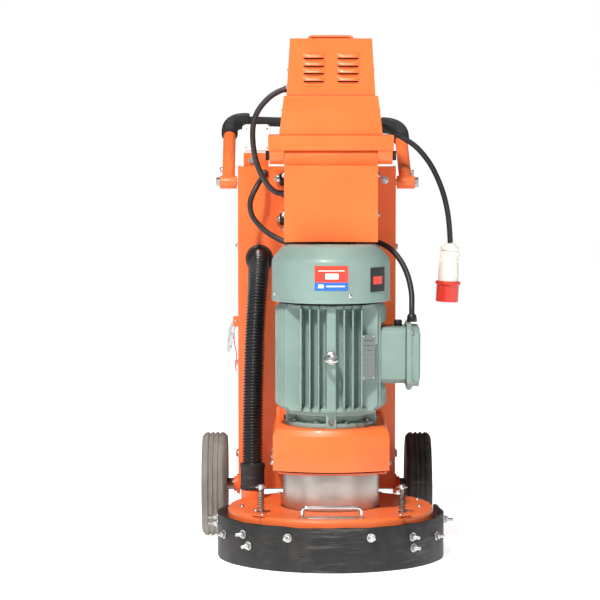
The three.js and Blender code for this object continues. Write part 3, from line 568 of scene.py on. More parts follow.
# ------------------------------------------------------------------ frame, wheels, handlebar
def frame_pieces():
    from_cad("frame_column", 1.2)
    from_cad("latch_lever", 1.0)
    from_cad("handle_pivot_shaft", 0.8)
    from_cad("switch_box", 5)
    from_cad("axle", 0.8)
    lid = extruded(filleted([(-209, 930), (-143, 930), (-143, 991), (-209, 991)], 6), 263.5, 271.8,
                   "Y")
    piece("switch_box_lid", "chassis", lid, "white_plastic", bevel=1.6)
    screws = [dome_head((x, 263.7, z), (0, -1, 0), 3.2, 1.6) for x in (-201, -151)
              for z in (938, 983)]
    piece("switch_box_screws", "chassis", joined(*screws), "zinc")
    bolts = [hex_head((x, 229.8, z), (0, -1, 0)) for x, z in ((-123, 865), (131, 861))]
    bolts.append(hex_head((-187, 267.8, 905), (0, -1, 0), 11, 5, 8))
    bolts += [hex_head((x, y, z), (way, 0, 0)) for x, way in FRAME_SIDES
              for y, z in ((262, 200), (300, 200), (262, 420), (262, 700))]
    piece("frame_bolts", "chassis", joined(*bolts), "zinc")
    tie = smooth_path([(-225, 244, 509), (-229, 243, 498), (-228, 242, 470), (-223, 243, 440),
                       (-226, 242, 420), (-224, 243, 402)])
    piece("latch_tie", "chassis", along(tie, 1.3, 8), "red_plastic")
    rings = [moved(revolved([(25.3, 0), (28.5, 0), (28.5, 9), (25.3, 9)], 48, closed=True),
                   aimed((HOSE_PORT[0], y, HOSE_PORT[1]), (0, 1, 0))) for y in (271, 281)]
    piece("spigot_beads", "chassis", joined(*rings), "orange_paint", bevel=0.8)


def tyre_shape():
    half, radius = WHEEL_WIDTH / 2, WHEEL_RADIUS
    tread = [(radius - 9, -half), (radius - 1.5, -half + 7)]
    for k in (-1, 0, 1):
        middle = k * 11.5
        tread += [(radius, middle - 3.4), (radius - 3.2, middle - 2.2),
                  (radius - 3.2, middle + 2.2), (radius, middle + 3.4)]
    tread += [(radius - 1.5, half - 7), (radius - 9, half)]
    wall = [(RIM_RADIUS + 14, half), (RIM_RADIUS + 12, half - 1.4), (RIM_RADIUS + 5, half - 3),
            (RIM_RADIUS + 0.3, half - 8), (RIM_RADIUS + 0.3, -half + 8),
            (RIM_RADIUS + 5, -half + 3), (RIM_RADIUS + 12, -half + 1.4), (RIM_RADIUS + 14, -half)]
    return revolved(filleted(tread + wall, 1.1, 2), 96, closed=True)


def rim_shape():
    half, outer = WHEEL_WIDTH / 2 - 8, RIM_RADIUS
    hub = WHEEL_WIDTH / 2 - 10
    profile = filleted([
        (10.4, -hub), (22, -hub), (24, -7), (outer - 20, -4), (outer - 9, -9), (outer - 7, -half),
        (outer, -half), (outer, half), (outer - 7, half), (outer - 9, 9), (outer - 20, 4), (24, 7),
        (22, hub - 6.4), (10.4, hub - 6.4)], 2.2, 3)
    bolts = [dome_head((46 * math.cos(k * math.pi / 2.5), 46 * math.sin(k * math.pi / 2.5), side),
                       (0, 0, side), 6, 3.4) for k in range(5) for side in (-4.4, 4.4)]
    return joined(revolved(profile, 72, closed=True), *bolts)


def wheel_pieces():
    for side, x in WHEEL_X.items():
        facing = 1 if side == "right" else -1
        place = aimed((x, *AXLE), (facing, 0, 0))
        # The right tyre takes the darker finish, which is painted shade of the column's shadow; the
        # left tyre keeps its own dusty grey.
        piece(side + "_tyre_tread", side + "_wheel", moved(tyre_shape(), place),
              "tyre" if side == "right" else "tyre_dusty", [side + "_tyre"], sharp=30)
        piece(side + "_rim_dish", side + "_wheel", moved(rim_shape(), place), "orange_paint",
              [side + "_rim"])
    outline = [(14.3, 0), (24, 0), (24, 5), (18, 5), (18, 12), (14.3, 12)]
    collars = [rounded_ring(outline, 1, 2, 48, aimed((x, *AXLE), (way, 0, 0)))
               for x, way in ((-219.3, -1), (157.8, 1))]
    piece("axle_collars", "chassis", joined(*collars), "orange_paint")


def handlebar_pieces():
    left, right = (Vector(p) for p in ELBOWS)
    feet = (Vector((-242, *PIVOT)), Vector((182, *PIVOT)))
    arms = [along([foot.lerp(elbow, 0.03), foot.lerp(elbow, 0.84), foot.lerp(elbow, 0.86)],
                  [15, 15, 13.6], 32) for foot, elbow in zip(feet, (left, right))]
    sleeves = [rounded_ring([(8.6, 0), (15.6, 0), (15.6, b - a), (8.6, b - a)], 0.8, 2, 32,
                            aimed((a, *PIVOT), (1, 0, 0)))
               for a, b in ((-262, -222), (160.5, 203))]
    bar = along(spaced(bent_path([feet[0].lerp(left, 0.4), left, right, feet[1].lerp(right, 0.4)],
                                 42), 6), 10, 24)
    piece("handlebar_frame", "handlebar", joined(*arms, *sleeves, bar), "orange_paint",
          ["handlebar_tube"])
    grips = []
    for foot, elbow, other in ((feet[0], left, right), (feet[1], right, left)):
        low = elbow + (foot - elbow).normalized() * 62
        far = elbow + (other - elbow).normalized() * 48
        path = spaced(bent_path([low, elbow, far], 42, 12), 4)
        sizes = [20 - 2.2 * (k in (0, len(path) - 1)) - 0.5 * (k in (1, len(path) - 2))
                 for k in range(len(path))]
        grips.append(along(path, sizes, 32))
    straight = spaced([left.lerp(right, 0.1), left.lerp(right, 0.9)], 3)
    grips.append(along(straight, [11.6 + 0.25 * math.sin(k * 1.7) for k in range(len(straight))],
                       24))
    piece("handlebar_foam", "handlebar", joined(*grips), "foam", ["handlebar_grip"])
    pins = [hex_head((-257.3, 286, 883), (-1, 0, 0), 13, 6, 8),
            hex_head((196.5, 277, 876), (1, 0, 0), 13, 6, 8)]
    piece("handlebar_stops", "handlebar", joined(*pins), "zinc")


# ------------------------------------------------------------------ grinding head and shroud
def cover_outline(inset):
    """Straight sides and a shallow bowed front, seen from above."""
    half, front, bow = 133 - inset, -94 + inset, 36
    points = [(half, 229.6), (-half, 229.6)]
    points += [(half * s, front - bow * (1 - s * s)) for s in
               [-1 + 2 * k / 32 for k in range(33)]]
    return points


def lofted(rings):
    """Rings of equal point counts joined in order, both ends closed."""
    count = len(rings[0])
    corners = [p for ring in rings for p in ring]
    faces = []
    for i in range(len(rings) - 1):
        for k in range(count):
            m = (k + 1) % count
            faces.append((i * count + k, i * count + m, (i + 1) * count + m, (i + 1) * count + k))
    faces.append(tuple(range((len(rings) - 1) * count, len(rings) * count)))
    faces.append(tuple(range(count))[::-1])
    return corners, faces


def head_pieces():
    levels = [(3, 214), (2.5, 208), (0, 208), (0, 287)]
    levels += [(1, 290), (6.4, 301), (7.6, 303), (9.4, 304)]
    shell = lofted([[(x, y, z) for x, y in cover_outline(i)] for i, z in levels])
    piece("head_cover_shell", "chassis", shell, "orange_paint", ["head_cover"], sharp=40)
    base = extruded(filleted([(127, 229), (-121, 229), (-121, -84), (-60, -112), (60, -112),
                              (127, -84)], [0, 0, 14, 60, 60, 14], 6), 199, 203.6)
    piece("head_base_plate", "chassis", base, "orange_paint", bevel=0.8)
    piece("head_gasket", "chassis", extruded(cover_outline(14), 203.7, 207.9), "rubber")
    tab = extruded([(-126, 84), (-116, 84), (-116, 87), (-126, 87)], 302, 334)
    piece("head_tab", "chassis", tab, "orange_paint", bevel=0.8)
    bolts = [hex_head((side * 133, y, 223), (side, 0, 0), 10, 5, 7) for side in (-1, 1)
             for y in (-70, 40, 150)]
    piece("head_bolts", "chassis", joined(*bolts), "zinc")
    drum = filleted([(107, 104.5), (111, 104.5), (111, 198.7), (40, 198.7), (40, 193.7),
                     (107, 193.7)], 0.8, 2)
    piece("head_drum_sheet", "chassis", revolved(drum, 128, closed=True), "stainless",
          ["head_drum"])
    seam = extruded([(-1.2, -111.6), (1.2, -111.6), (1.2, -110.6), (-1.2, -110.6)], 106, 198)
    piece("head_drum_seam", "chassis", moved(seam, Matrix.Rotation(2.2, 4, "Z")), "stainless")
    from_cad("gear_case", 0.8)
    from_cad("planet_carrier", 0.6)
    for k in (1, 2, 3):
        from_cad(f"planet_gear_{k}", 0.4)
        from_cad(f"grinding_disc_{k}", 0.8)
    for k, side in enumerate((-1, 1), 1):
        float_bolt(k, side)


def float_bolt(k, side):
    x = side * FLOAT_X
    profile = [(0, 104.3), (5, 104.3)]
    profile += [(5 - 0.5 * (n % 2), 106 + 1.5 * n) for n in range(45)]
    profile += [(5, 174.8), (11, 174.9), (12.2, 175.4), (12.2, 176.6), (9.6, 177.0)]
    profile += [(9.6 * math.cos(t * math.pi / 12), 177 + 6 * math.sin(t * math.pi / 12))
                for t in range(1, 6)] + [(0, 183)]
    piece(f"float_bolt_{k}_finished", "chassis",
          moved(revolved(profile, 28), Matrix.Translation((x, FLOAT_Y, 0))), "zinc",
          [f"float_bolt_{k}"])
    turns, path = 8.5, []
    for n in range(int(turns * 20) + 1):
        share = n / (turns * 20)
        ease = share + 0.035 * math.sin(2 * math.pi * share)
        turn = 2 * math.pi * turns * share
        path.append((x + 7.6 * math.cos(turn), FLOAT_Y + 7.6 * math.sin(turn),
                     SPRING_LOW + 1.2 + (SPRING_HIGH - SPRING_LOW - 2.4) * ease))
    coil = piece(f"float_spring_{k}_coil", "chassis", along(path, 1.15, 8), "spring",
                 [f"float_spring_{k}"])
    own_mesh(coil)


def skirt_shape():
    """The rubber strip: upright, a little wavy, with its right-hand end lifting outward."""
    count = 180
    rings = []
    for k in range(count + 1):
        share = k / count
        turn = math.radians(-90 + SKIRT_HALF * (2 * share - 1))
        wave = 0.7 * math.sin(share * 39) + 0.5 * math.sin(share * 83 + 1)
        lift = 7 * max(0.0, (share - 0.94) / 0.06) ** 1.6
        outer = SKIRT_RADIUS + wave * 0.5 + lift
        inner = SKIRT_RADIUS - SKIRT_WALL + wave * 0.2 + lift
        top = SKIRT_HEIGHT - 1 + wave
        ring = filleted([(inner, 0), (outer, 0), (outer, top), (inner, top)], 1.8, 2)
        rings.append([(r * math.cos(turn), r * math.sin(turn), z) for r, z in ring])
    return lofted(rings)


def shroud_pieces():
    from_cad("dust_shroud", 1.2)
    from_cad("front_hatch", 1.2)
    piece("skirt_strip", "shroud", skirt_shape(), "rubber", ["skirt"], sharp=50)
    studs = []
    for turn, height in ((-49.4, 74), (-45.5, 50), (-22, 77), (19.4, 78), (44, 71), (44.6, 46),
                         (-87, 89), (-87, 75), (87, 84), (66, 60), (-68, 62)):
        a = math.radians(turn)
        out = Vector((math.sin(a), -math.cos(a), 0))
        studs.append(stud(out * (SKIRT_RADIUS + 0.4) + Vector((0, 0, height)),
                          out + Vector((0, 0, 0.04 * math.sin(turn))), 21))
    piece("skirt_bolts", "shroud", joined(*studs), "zinc")
    rod = bent_path([(-66, -196, 116.6), (-66, -198, 138.6), (66, -198, 138.6), (66, -196, 116.6)],
                    11, 8)
    feet = [moved(revolved(filleted([(0, 1.8), (9, 1.8), (9, 0.2), (0, 0.2)], 0.5, 2, False), 28),
                  Matrix.Translation((x, -196, 115))) for x in (-66, 66)]
    piece("hatch_handle_rod", "shroud", joined(along(spaced(rod, 3), 4.5, 20), *feet), "chrome",
          ["hatch_handle"])
    plate = extruded(filleted([(-56, -212), (56, -212), (56, -182), (-56, -182)], 4), 115.1, 116.4)
    piece("hatch_handle_plate", "shroud", plate, "zinc", bevel=0.3)
    for name, side in (("left", -1), ("right", 1)):
        strap = extruded(filleted([(side * 150, -186), (side * 180, -160), (side * 180, -112),
                                   (side * 162, -100), (side * 150, -112)], 4), 115.2, 118.4)
        piece(name + "_hatch_strap", "shroud", strap, "orange_paint", bevel=0.8)
    bolts = [dome_head((side * x, y, 118.4), (0, 0, 1), 5.5, 3.4) for side in (-1, 1)
             for x, y in ((172, -108), (156, -172))]
    bolts += [dome_head((x, y, 115.1), (0, 0, 1), 6, 3.6) for x, y in (
        (-205, -20), (205, -20), (205, 90), (-120, 190), (120, 190), (0, 205))]
    piece("shroud_bolts", "shroud", joined(*bolts), "zinc")
    seals = [block(side * 161 - 0.8, side * 161 + 0.8, -184, -124, 114.7, 115.3)
             for side in (-1, 1)]
    piece("hatch_seals", "shroud", joined(*seals), "rubber")


def hose_pieces():
    foot_x, foot_y = HOSE_FOOT
    route = smooth_path([
        (-168, 228.5, 674), (-168, 200, 674), (-168.5, 160, 660), (-170, 132, 626),
        (-173, 117, 575), (-177, 110, 500), (-180, 109, 400), (-182, 110, 300),
        (foot_x, foot_y, 210), (foot_x, foot_y, 154)], 14)
    path = spaced(route, HOSE_PITCH / 8)
    sizes = [HOSE_RADIUS - 1.9 + 1.9 * math.cos(k * math.pi / 4) for k in range(len(path))]
    shape = along(path, sizes, 28)
    hose = piece("vacuum_hose_corrugated", None, shape, "hose", ["vacuum_hose"], sharp=70)
    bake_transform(hose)
    cuff = [(21, 136.4), (29, 136.4), (29, 144), (27.8, 146), (27.8, 186), (29, 189),
            (29, 198), (24.9, 198), (24.9, 139.6), (21, 139.6)]
    piece("hose_cuff_moulding", "shroud",
          rounded_ring(cuff, 1.2, 3, 56, Matrix.Translation((foot_x, foot_y, 0))),
          "rubber", ["hose_cuff"])
    lip = [(HOSE_RADIUS + 0.3, 0), (33, 0), (33, 5), (29, 8), (HOSE_RADIUS + 0.3, 8)]
    port = aimed((HOSE_PORT[0], 229.9, HOSE_PORT[1]), (0, -1, 0))
    piece("hose_port_ring", "chassis", rounded_ring(lip, 1, 2, 48, port), "black_plastic")


# ------------------------------------------------------------------ motor
def fin_outline(tip, root, low, high):
    """A cooling fin seen from its side: [distance out, height], clipped at both outer ends."""
    chamfer = 13
    return [(root, low), (tip - chamfer, low), (tip - 2, low + chamfer - 2), (tip, low + chamfer),
            (tip, high - chamfer), (tip - 2, high - chamfer + 3), (tip - 9, high), (root, high)]


def fin(offset, turn, low, high):
    """A fin that stands out along -Y at an offset, then is turned about the motor's axis."""
    tip = math.sqrt(FIN_TIP ** 2 - offset ** 2)
    root = math.sqrt(max(MOTOR_CORE ** 2 - offset ** 2, 40 ** 2)) - 3
    corners, faces = extruded(fin_outline(tip, root, low, high), -1, 1, "X")
    shaped = []
    for x, out, z in corners:
        thick = 2.7 - 1.2 * max(0.0, min(1.0, (out - root) / (tip - root)))
        shaped.append((offset + x * thick, -out, z))
    return moved((shaped, faces), Matrix.Rotation(math.radians(turn), 4, "Z"))


def motor_pieces():
    barrel = filleted([(92, MOTOR_LOW), (112, MOTOR_LOW), (112, MOTOR_LOW + 8),
                       (MOTOR_CORE, MOTOR_LOW + 12), (MOTOR_CORE, MOTOR_HIGH - 14),
                       (116, MOTOR_HIGH - 8), (116, MOTOR_HIGH), (92, MOTOR_HIGH)], 1.6, 3)
    fins = []
    across = (-69, -49, -29, 29, 49, 69)
    for offset in across:
        fins += [fin(offset, 0, MOTOR_LOW, MOTOR_HIGH), fin(offset, 180, MOTOR_LOW, MOTOR_HIGH)]
    for offset in (-72, -60, -48, -36, -24, -12, 0, 12, 24, 36, 48, 60, 72):
        fins.append(fin(offset, -90, MOTOR_LOW, MOTOR_HIGH))
        if abs(offset) > 57:
            fins.append(fin(offset, 90, MOTOR_LOW, MOTOR_HIGH))
        else:
            fins += [fin(offset, 90, MOTOR_LOW, 402), fin(offset, 90, 533, MOTOR_HIGH)]
    pad = extruded(filleted([(-11, -119), (11, -119), (14, -90), (-14, -90)], [4, 4, 0, 0], 4),
                   MOTOR_LOW + 3, MOTOR_HIGH - 3)
    seat = extruded(filleted([(-58, 404), (58, 404), (58, 531), (-58, 531)], 9), 90, 103.6, "X")
    piece("motor_barrel", "chassis", joined(revolved(barrel, 96, closed=True), *fins, pad, seat),
          "motor_paint", ["motor_housing"], bevel=0.7, sharp=28)
    flange = filleted([(20, 304.3), (100, 304.3), (100, 314.5), (80, 317), (80, 330), (102, 333),
                       (102, 342.7), (20, 342.7)], 1.6, 3)
    lugs = [moved(extruded(filleted([(72, -12), (104, -12), (104, 12), (72, 12)], 3), 304.3, 342.7),
                  Matrix.Rotation(math.radians(turn), 4, "Z")) for turn in (0, 90, 180, 270)]
    piece("motor_flange_casting", "chassis", joined(revolved(flange, 80, closed=True), *lugs),
          "motor_paint", ["motor_flange"], bevel=0.6)
    bolts = [hex_head((103.8 * math.cos(a), 103.8 * math.sin(a), 320),
                      (math.cos(a), math.sin(a), 0), 10, 5, 7)
             for a in (-math.pi / 2, 0, math.pi)]
    bolts += [hex_head((89 * math.cos(a), 89 * math.sin(a), 315), (0, 0, 1), 10, 6, 6.5)
              for a in [math.radians(22 + 45 * k) for k in range(8)]]
    piece("motor_bolts", "chassis", joined(*bolts), "steel")
    cowl = filleted([(133.5, 592), (136.8, 592), (136.8, 597), (136, 598.5), (136, 688),
                     (105, 722), (60, 722), (60, 719.5), (104, 719.5), (133.5, 687)],
                    [0.5, 0.8, 0.6, 0.6, 9, 8, 1, 0.5, 5, 6], 5)
    piece("fan_cowl_sheet", "chassis", revolved(cowl, 112, closed=True), "motor_paint",
          ["fan_cowl"])
    wire = [(1.2 * math.cos(t * math.pi / 3), 720.8 + 1.2 * math.sin(t * math.pi / 3))
            for t in range(6)]
    rings = [revolved([(r + x, z) for x, z in wire], 40, closed=True) for r in (16, 27, 38, 49)]
    spokes = [along([(13 * math.cos(a), 13 * math.sin(a), 719.6),
                     (61 * math.cos(a), 61 * math.sin(a), 719.6)], 1.3, 8)
              for a in [k * math.pi / 3 for k in range(6)]]
    piece("fan_cowl_grille", "chassis", joined(*rings, *spokes), "motor_paint")
    cowl_out = COWL_RADIUS + 0.6
    screws = [dome_head((cowl_out * math.sin(a), -cowl_out * math.cos(a), 609),
                        (math.sin(a), -math.cos(a), 0), 5, 2.8)
              for a in [math.radians(18 + 90 * k) for k in range(4)]]
    piece("fan_cowl_screws", "chassis", joined(*screws), "zinc")
    for node in ("stator", "rotor_shaft", "cooling_fan"):
        from_cad(node, 0.5)


def motor_trim():
    piece("cowl_label", "chassis", on_drum(COWL_RADIUS + 0.1, -38, 38, 641, 678), "red_label")
    piece("cowl_label_band", "chassis", on_drum(COWL_RADIUS + 0.1, -38, 38, 622, 641), "blue_label")
    bars = [on_drum(COWL_RADIUS + 0.6, x0, x1, z0, z1, 0.35, 8) for x0, x1, z0, z1 in (
        (-30, 30, 666, 668), (-14, 16, 648, 661), (-30, -18, 628, 636), (-12, 30, 630.5, 633.5))]
    piece("cowl_label_marks", "chassis", joined(*bars), "white_label")
    badge = on_drum(COWL_RADIUS + 0.1, 89, 122, 617, 672, 1.2)
    piece("cowl_badge", "chassis", badge, "black_plastic")
    lens = on_drum(COWL_RADIUS + 1.4, 95, 116, 634, 652, 0.8)
    piece("cowl_badge_lens", "chassis", lens, "red_label")
    plate = extruded(filleted([(68, 417), (101, 417), (101, 520), (68, 520)], 3), -0.8, 0.8, "Y")
    lean = Matrix.Translation((84.5, -99, 0)) @ Matrix.Rotation(math.radians(28), 4, "Z") \
        @ Matrix.Translation((-84.5, 0, 0))
    lines = [block(72, 97, -1.3, -0.8, z, z + 2.2) for z in range(428, 508, 11)]
    piece("motor_nameplate", "chassis", moved(plate, lean), "plate", bevel=0.3)
    piece("motor_nameplate_lines", "chassis", moved(joined(*lines), lean), "steel")
    rivets = [moved(dome_head((x, -0.9, z), (0, -1, 0), 2.2, 1.2), lean) for x in (71.5, 97.5)
              for z in (421, 516)]
    piece("motor_nameplate_rivets", "chassis", joined(*rivets), "zinc")
    ring = [(12.5 + 5.3 * math.cos(t * math.pi / 8), 5.3 * math.sin(t * math.pi / 8))
            for t in range(16)]
    place = Matrix.Translation((0, -142.3, 468)) @ Matrix.Rotation(0.35, 4, "X")
    eye = moved(revolved(ring, 48, closed=True), place)
    collar = moved(revolved(filleted([(0, 0.3), (15, 0.3), (15, 5), (8, 7), (7, 14), (0, 14)],
                                     1.4, 3, False), 40), aimed((0, -120, 468), (0, -1, 0)))
    piece("lifting_eye_forging", "chassis", joined(eye, collar), "zinc", ["lifting_eye"])


def terminal_pieces():
    from_cad("terminal_box", 3)
    from_cad("terminal_box_lid", 4)
    screws = [hex_head((185.2, side * 59, z), (1, 0, 0), 8, 4, 5.6) for side in (-1, 1)
              for z in (408, 521)]
    piece("terminal_lid_screws", "chassis", joined(*screws), "zinc")
    gasket = extruded(filleted([(-58, 401), (58, 401), (58, 534), (-58, 534)], 12), 171.4, 172.6,
                      "X")
    piece("terminal_gasket", "chassis", gasket, "rubber")
    rib = extruded(filleted([(-40, 412), (40, 412), (40, 517), (-40, 517)], 12), 202.6, 205.2, "X")
    piece("terminal_lid_crown", "chassis", rib, "motor_paint", bevel=1.5)
    piece("motor_lead_glands", "chassis", joined(gland((187, 0, 541), (0, 0, 1), 12, 18),
                                                 gland((92, 112, 719.5), (1, 0, 0), 11, 12)),
          "black_plastic")
    stub = revolved(filleted([(0, 14), (8.5, 14), (9.5, 11), (9.5, 0), (0, 0)], 1, 2, False), 28)
    piece("terminal_blank", "chassis", moved(stub, Matrix.Translation((155, 0, 532))),
          "black_plastic")


# ------------------------------------------------------------------ front box and console
def box_pieces():
    for node, bevel in (("front_box", 2.2), ("hinge_neck", 1.5), ("hinge_pin", 0.8),
                        ("drive_unit", 1.5)):
        from_cad(node, bevel)
    bolts = [hex_head((side * 107.6, y, z), (side, 0, 0), 10, 5, 7.5) for side in (-1, 1)
             for y, z in ((-18, 790), (-18, 880), (120, 790), (120, 880), (205, 745))]
    piece("front_box_bolts", "chassis", joined(*bolts), "zinc")
    pads = [moved(revolved(filleted([(0, 12), (13, 12), (15, 8), (15, 4), (13, 0), (0, 0)], 1.2, 2,
                                    False), 32), aimed((-107.6, 224, z), (-1, 0, 0)))
            for z in (768, 862)]
    piece("front_box_mounts", "chassis", joined(*pads), "rubber")
    nuts = [hex_head((-119.6, 224, z), (-1, 0, 0), 13, 7, 9) for z in (768, 862)]
    piece("front_box_mount_nuts", "chassis", joined(*nuts), "zinc")
    lid = extruded(filleted([(-105, 734), (105, 734), (105, 896), (-105, 896)], 5), 226.2, 228.8,
                   "Y")
    piece("front_box_rear_lid", "chassis", lid, "orange_paint", bevel=0.8)


def slope_frame(x, share, lift=0.0):
    """The matrix of a spot on the sloped panel: X to the right, Y down the slope, Z outward."""
    down = (PANEL_LOW - PANEL_TOP).normalized()
    out = Vector((1, 0, 0)).cross(down)
    place = PANEL_TOP.lerp(PANEL_LOW, share) + Vector((x, 0, 0)) + out * lift
    turn = Matrix(((1, down.x, out.x), (0, down.y, out.y), (0, down.z, out.z))).to_4x4()
    return Matrix.Translation(place) @ turn


def cabinet_front(z):
    """Y just ahead of the cabinet's leaning front face at a height."""
    return (z - 1061) / 131 * 8 - 3


def louvre(x0, x1, z):
    """A pressed hood: it swells from the sheet and ends in a slit below."""
    rows = []
    for k in range(9):
        share = k / 8
        x = x0 + (x1 - x0) * share
        bulge = min(1.0, 5 * min(share, 1 - share) + 0.12) ** 0.6
        lean = cabinet_front(z)
        rows.append([(x, lean + 0.2, z + 6.5), (x, lean - 2.5 * bulge, z + 4.2),
                     (x, lean - 6.6 * bulge, z - 0.5), (x, lean - 7.6 * bulge, z - 4.5),
                     (x, lean - 6.8 * bulge, z - 5.1), (x, lean + 0.2, z - 3.6)])
    return lofted(rows)


def console_pieces():
    for node, bevel in (("saddle_bracket", 1.2), ("console_base", 2.4), ("console_cabinet", 2.4),
                        ("operator_panel", 0.8)):
        from_cad(node, bevel)
    hoods, slits = [], []
    for x0, x1 in ((-65, -14), (13, 65)):
        for z in (1152, 1134, 1117, 1099):
            hoods.append(louvre(x0, x1, z + 1))
            lean = cabinet_front(z)
            # Each slit below a hood is filled with a flat dark red-brown block: painted shade of the
            # opening behind the hood.
            slits.append(block(x0 + 3, x1 - 3, lean - 1.2, lean + 0.4, z - 7.2, z - 3.4))
    piece("cabinet_louvres", "console", joined(*hoods), "orange_paint", sharp=50)
    piece("cabinet_louvre_slit_shade", "console", joined(*slits), "dark")
    screws = [dome_head((side * x, y, z), (side, 0, 0.12), 4.2, 2.4)
              for side in (-1, 1) for x, y, z in ((111.6, 20, 1027), (111.6, 120, 1027),
                                                 (98, 24, 1120), (100.4, 130, 1085))]
    piece("console_screws", "console", joined(*screws), "zinc")
    rod = bent_path([(-50, 0, 3.6), (-50, 0, 19), (50, 0, 19), (50, 0, 3.6)], 9, 8)
    place = slope_frame(0, 0.12)
    feet = [moved(revolved([(0, 1.6), (6.5, 1.6), (7, 1.1), (7, 0), (0, 0)], 24),
                  Matrix.Translation((x, 0, 3.4))) for x in (-50, 50)]
    piece("guard_bar_rod", "console", moved(joined(along(spaced(rod, 3), 4, 18), *feet), place),
          "orange_paint", ["guard_bar"])
    panel_pieces()


def panel_pieces():
    screws = [moved(dome_head((0, 0, 3.3), (0, 0, 1), 3.2, 1.6), slope_frame(x, share))
              for x in (-77, 77) for share in (0.09, 0.91)]
    piece("panel_screws", "console", joined(*screws), "zinc")
    bezel = joined(*(extruded(filleted(points, 2), 3.3, 5.6) for points in (
        [(-33, -9), (33, -9), (33, -6), (-33, -6)], [(-33, 6), (33, 6), (33, 9), (-33, 9)],
        [(-33, -6), (-29, -6), (-29, 6), (-33, 6)], [(29, -6), (33, -6), (33, 6), (29, 6)])))
    piece("display_bezel", "console", moved(bezel, slope_frame(*DISPLAY_SPOT)), "black_plastic",
          bevel=0.4)
    piece("display_screen", "console", moved(block(-29, 29, -6, 6, 3.3, 4.2),
                                             slope_frame(*DISPLAY_SPOT)), "screen")
    bars = [block(-22 + 9 * k, -16 + 9 * k, -3.4, 3.4, 4.2, 4.5) for k in range(5)]
    piece("display_bars", "console", moved(joined(*bars), slope_frame(*DISPLAY_SPOT)), "green_plastic")
    ring = filleted([(9.8, 3.4), (24, 3.4), (24, 5), (20, 6.4), (9.8, 6.4)], 0.8, 2)
    piece("stop_ring", "console", moved(revolved(ring, 56, closed=True), slope_frame(*STOP_SPOT)),
          "yellow_plastic")
    dial = [(4.8, 3.4), (24, 3.4), (24, 4.1), (4.8, 4.1)]
    piece("dial_plate", "console", moved(revolved(dial, 56, closed=True), slope_frame(*DIAL_SPOT)),
          "plate")
    marks = []
    for k in range(11):
        turn = Matrix.Rotation(math.radians(-135 + 27 * k), 4, "Z")
        marks.append(moved(block(-0.5, 0.5, -23, -20 - (k % 5 == 0), 4.1, 4.4), turn))
    piece("dial_marks", "console", moved(joined(*marks), slope_frame(*DIAL_SPOT)), "black_plastic")
    outline = [(7.8, 3.4), (13, 3.4), (13, 5), (11, 6.6), (7.8, 6.6)]
    bezels = [rounded_ring(outline, 0.6, 2, 48, slope_frame(0, share))
              for share in BUTTON_SHARES.values()]
    piece("button_bezels", "console", joined(*bezels), "chrome")
    lamps = [moved(revolved([(0, 6.4), (2.6, 5.8), (3.6, 4.4), (3.6, 3.4), (0, 3.4)], 24),
                   slope_frame(x, 0.88)) for x in (-18, 0, 18)]
    piece("panel_lamps", "console", joined(*lamps), "red_plastic")
    mushroom = filleted([(0, -12), (9, -12), (9, 12), (18, 14.5), (20, 19), (18, 25), (9, 28.4),
                         (0, 29)], [0, 0.5, 2, 2, 3, 4, 4, 0], 4, False)
    piece("emergency_stop_head", "stop_head", moved(revolved(mushroom, 56), slope_frame(*STOP_SPOT)),
          "red_plastic", ["emergency_stop"])
    knob = revolved(filleted([(0, -8), (4, -8), (4, 5), (17, 5), (15.6, 20), (13.6, 22), (0, 22)],
                             [0, 0.3, 0.3, 1, 1, 1, 0], 3, False), 48)
    ribs = [moved(block(-1.1, 1.1, -17.7, -14, 6.5, 19), Matrix.Rotation(k * math.pi / 7, 4, "Z"))
            for k in range(14)]
    piece("speed_knob_body", "knob", moved(joined(knob, *ribs), slope_frame(*DIAL_SPOT)),
          "black_plastic", ["speed_knob"])
    piece("speed_knob_pointer", "knob", moved(block(-0.9, 0.9, -13, -2, 21.9, 22.4),
                                              slope_frame(*DIAL_SPOT)), "white_plastic")
    cap = filleted([(0, -8), (7, -8), (7, 9), (11, 9), (11, 12.4), (9.6, 13), (0, 12.4)],
                   [0, 0.3, 0.6, 0.8, 0.8, 0.6, 0], 3, False)
    for name, look in (("start", "green_plastic"), ("stop", "red_plastic")):
        place = slope_frame(0, BUTTON_SHARES[name])
        piece(name + "_button_cap", name + "_cap", moved(revolved(cap, 40), place), look,
              [name + "_button"])


# ------------------------------------------------------------------ leads and supply cord
LEADS = {
    "console_lead": [
        (-104, 60, 1077), (-122, 60, 1070), (-142, 58, 1057), (-167, 56, 1028), (-178, 55, 1000),
        (-180.5, 55, 965), (-176, 55, 925), (-165, 56, 888), (-146, 57, 855), (-129, 59, 839),
        (-109.5, 60, 834)],
    "box_lead": [
        (-156, 229, 876), (-156, 205, 876), (-160, 182, 869), (-172, 160, 850), (-188, 150, 812),
        (-184, 150, 780), (-158, 150, 748), (-128, 148, 728), (-104, 142, 718), (-84, 130, 719.5)],
    "motor_lead": [
        (90, 112, 719.5), (112, 109, 718), (138, 98, 706), (162, 78, 680), (179, 50, 645),
        (187, 22, 605), (187, 4, 574), (187, 0, 556.3)],
}
CORD_ROUTE = [
    (70, 210, 932.3), (70.5, 210, 950), (75, 210, 968), (87, 210, 984), (105, 210.5, 991),
    (127, 211, 988), (150, 212, 975), (175, 213, 960.5), (199, 213, 945), (221, 213, 923),
    (241, 212, 895), (257, 211, 863), (270, 210, 828), (279, 209, 790), (284, 208, 752),
    (286.5, 208, 712.3)]


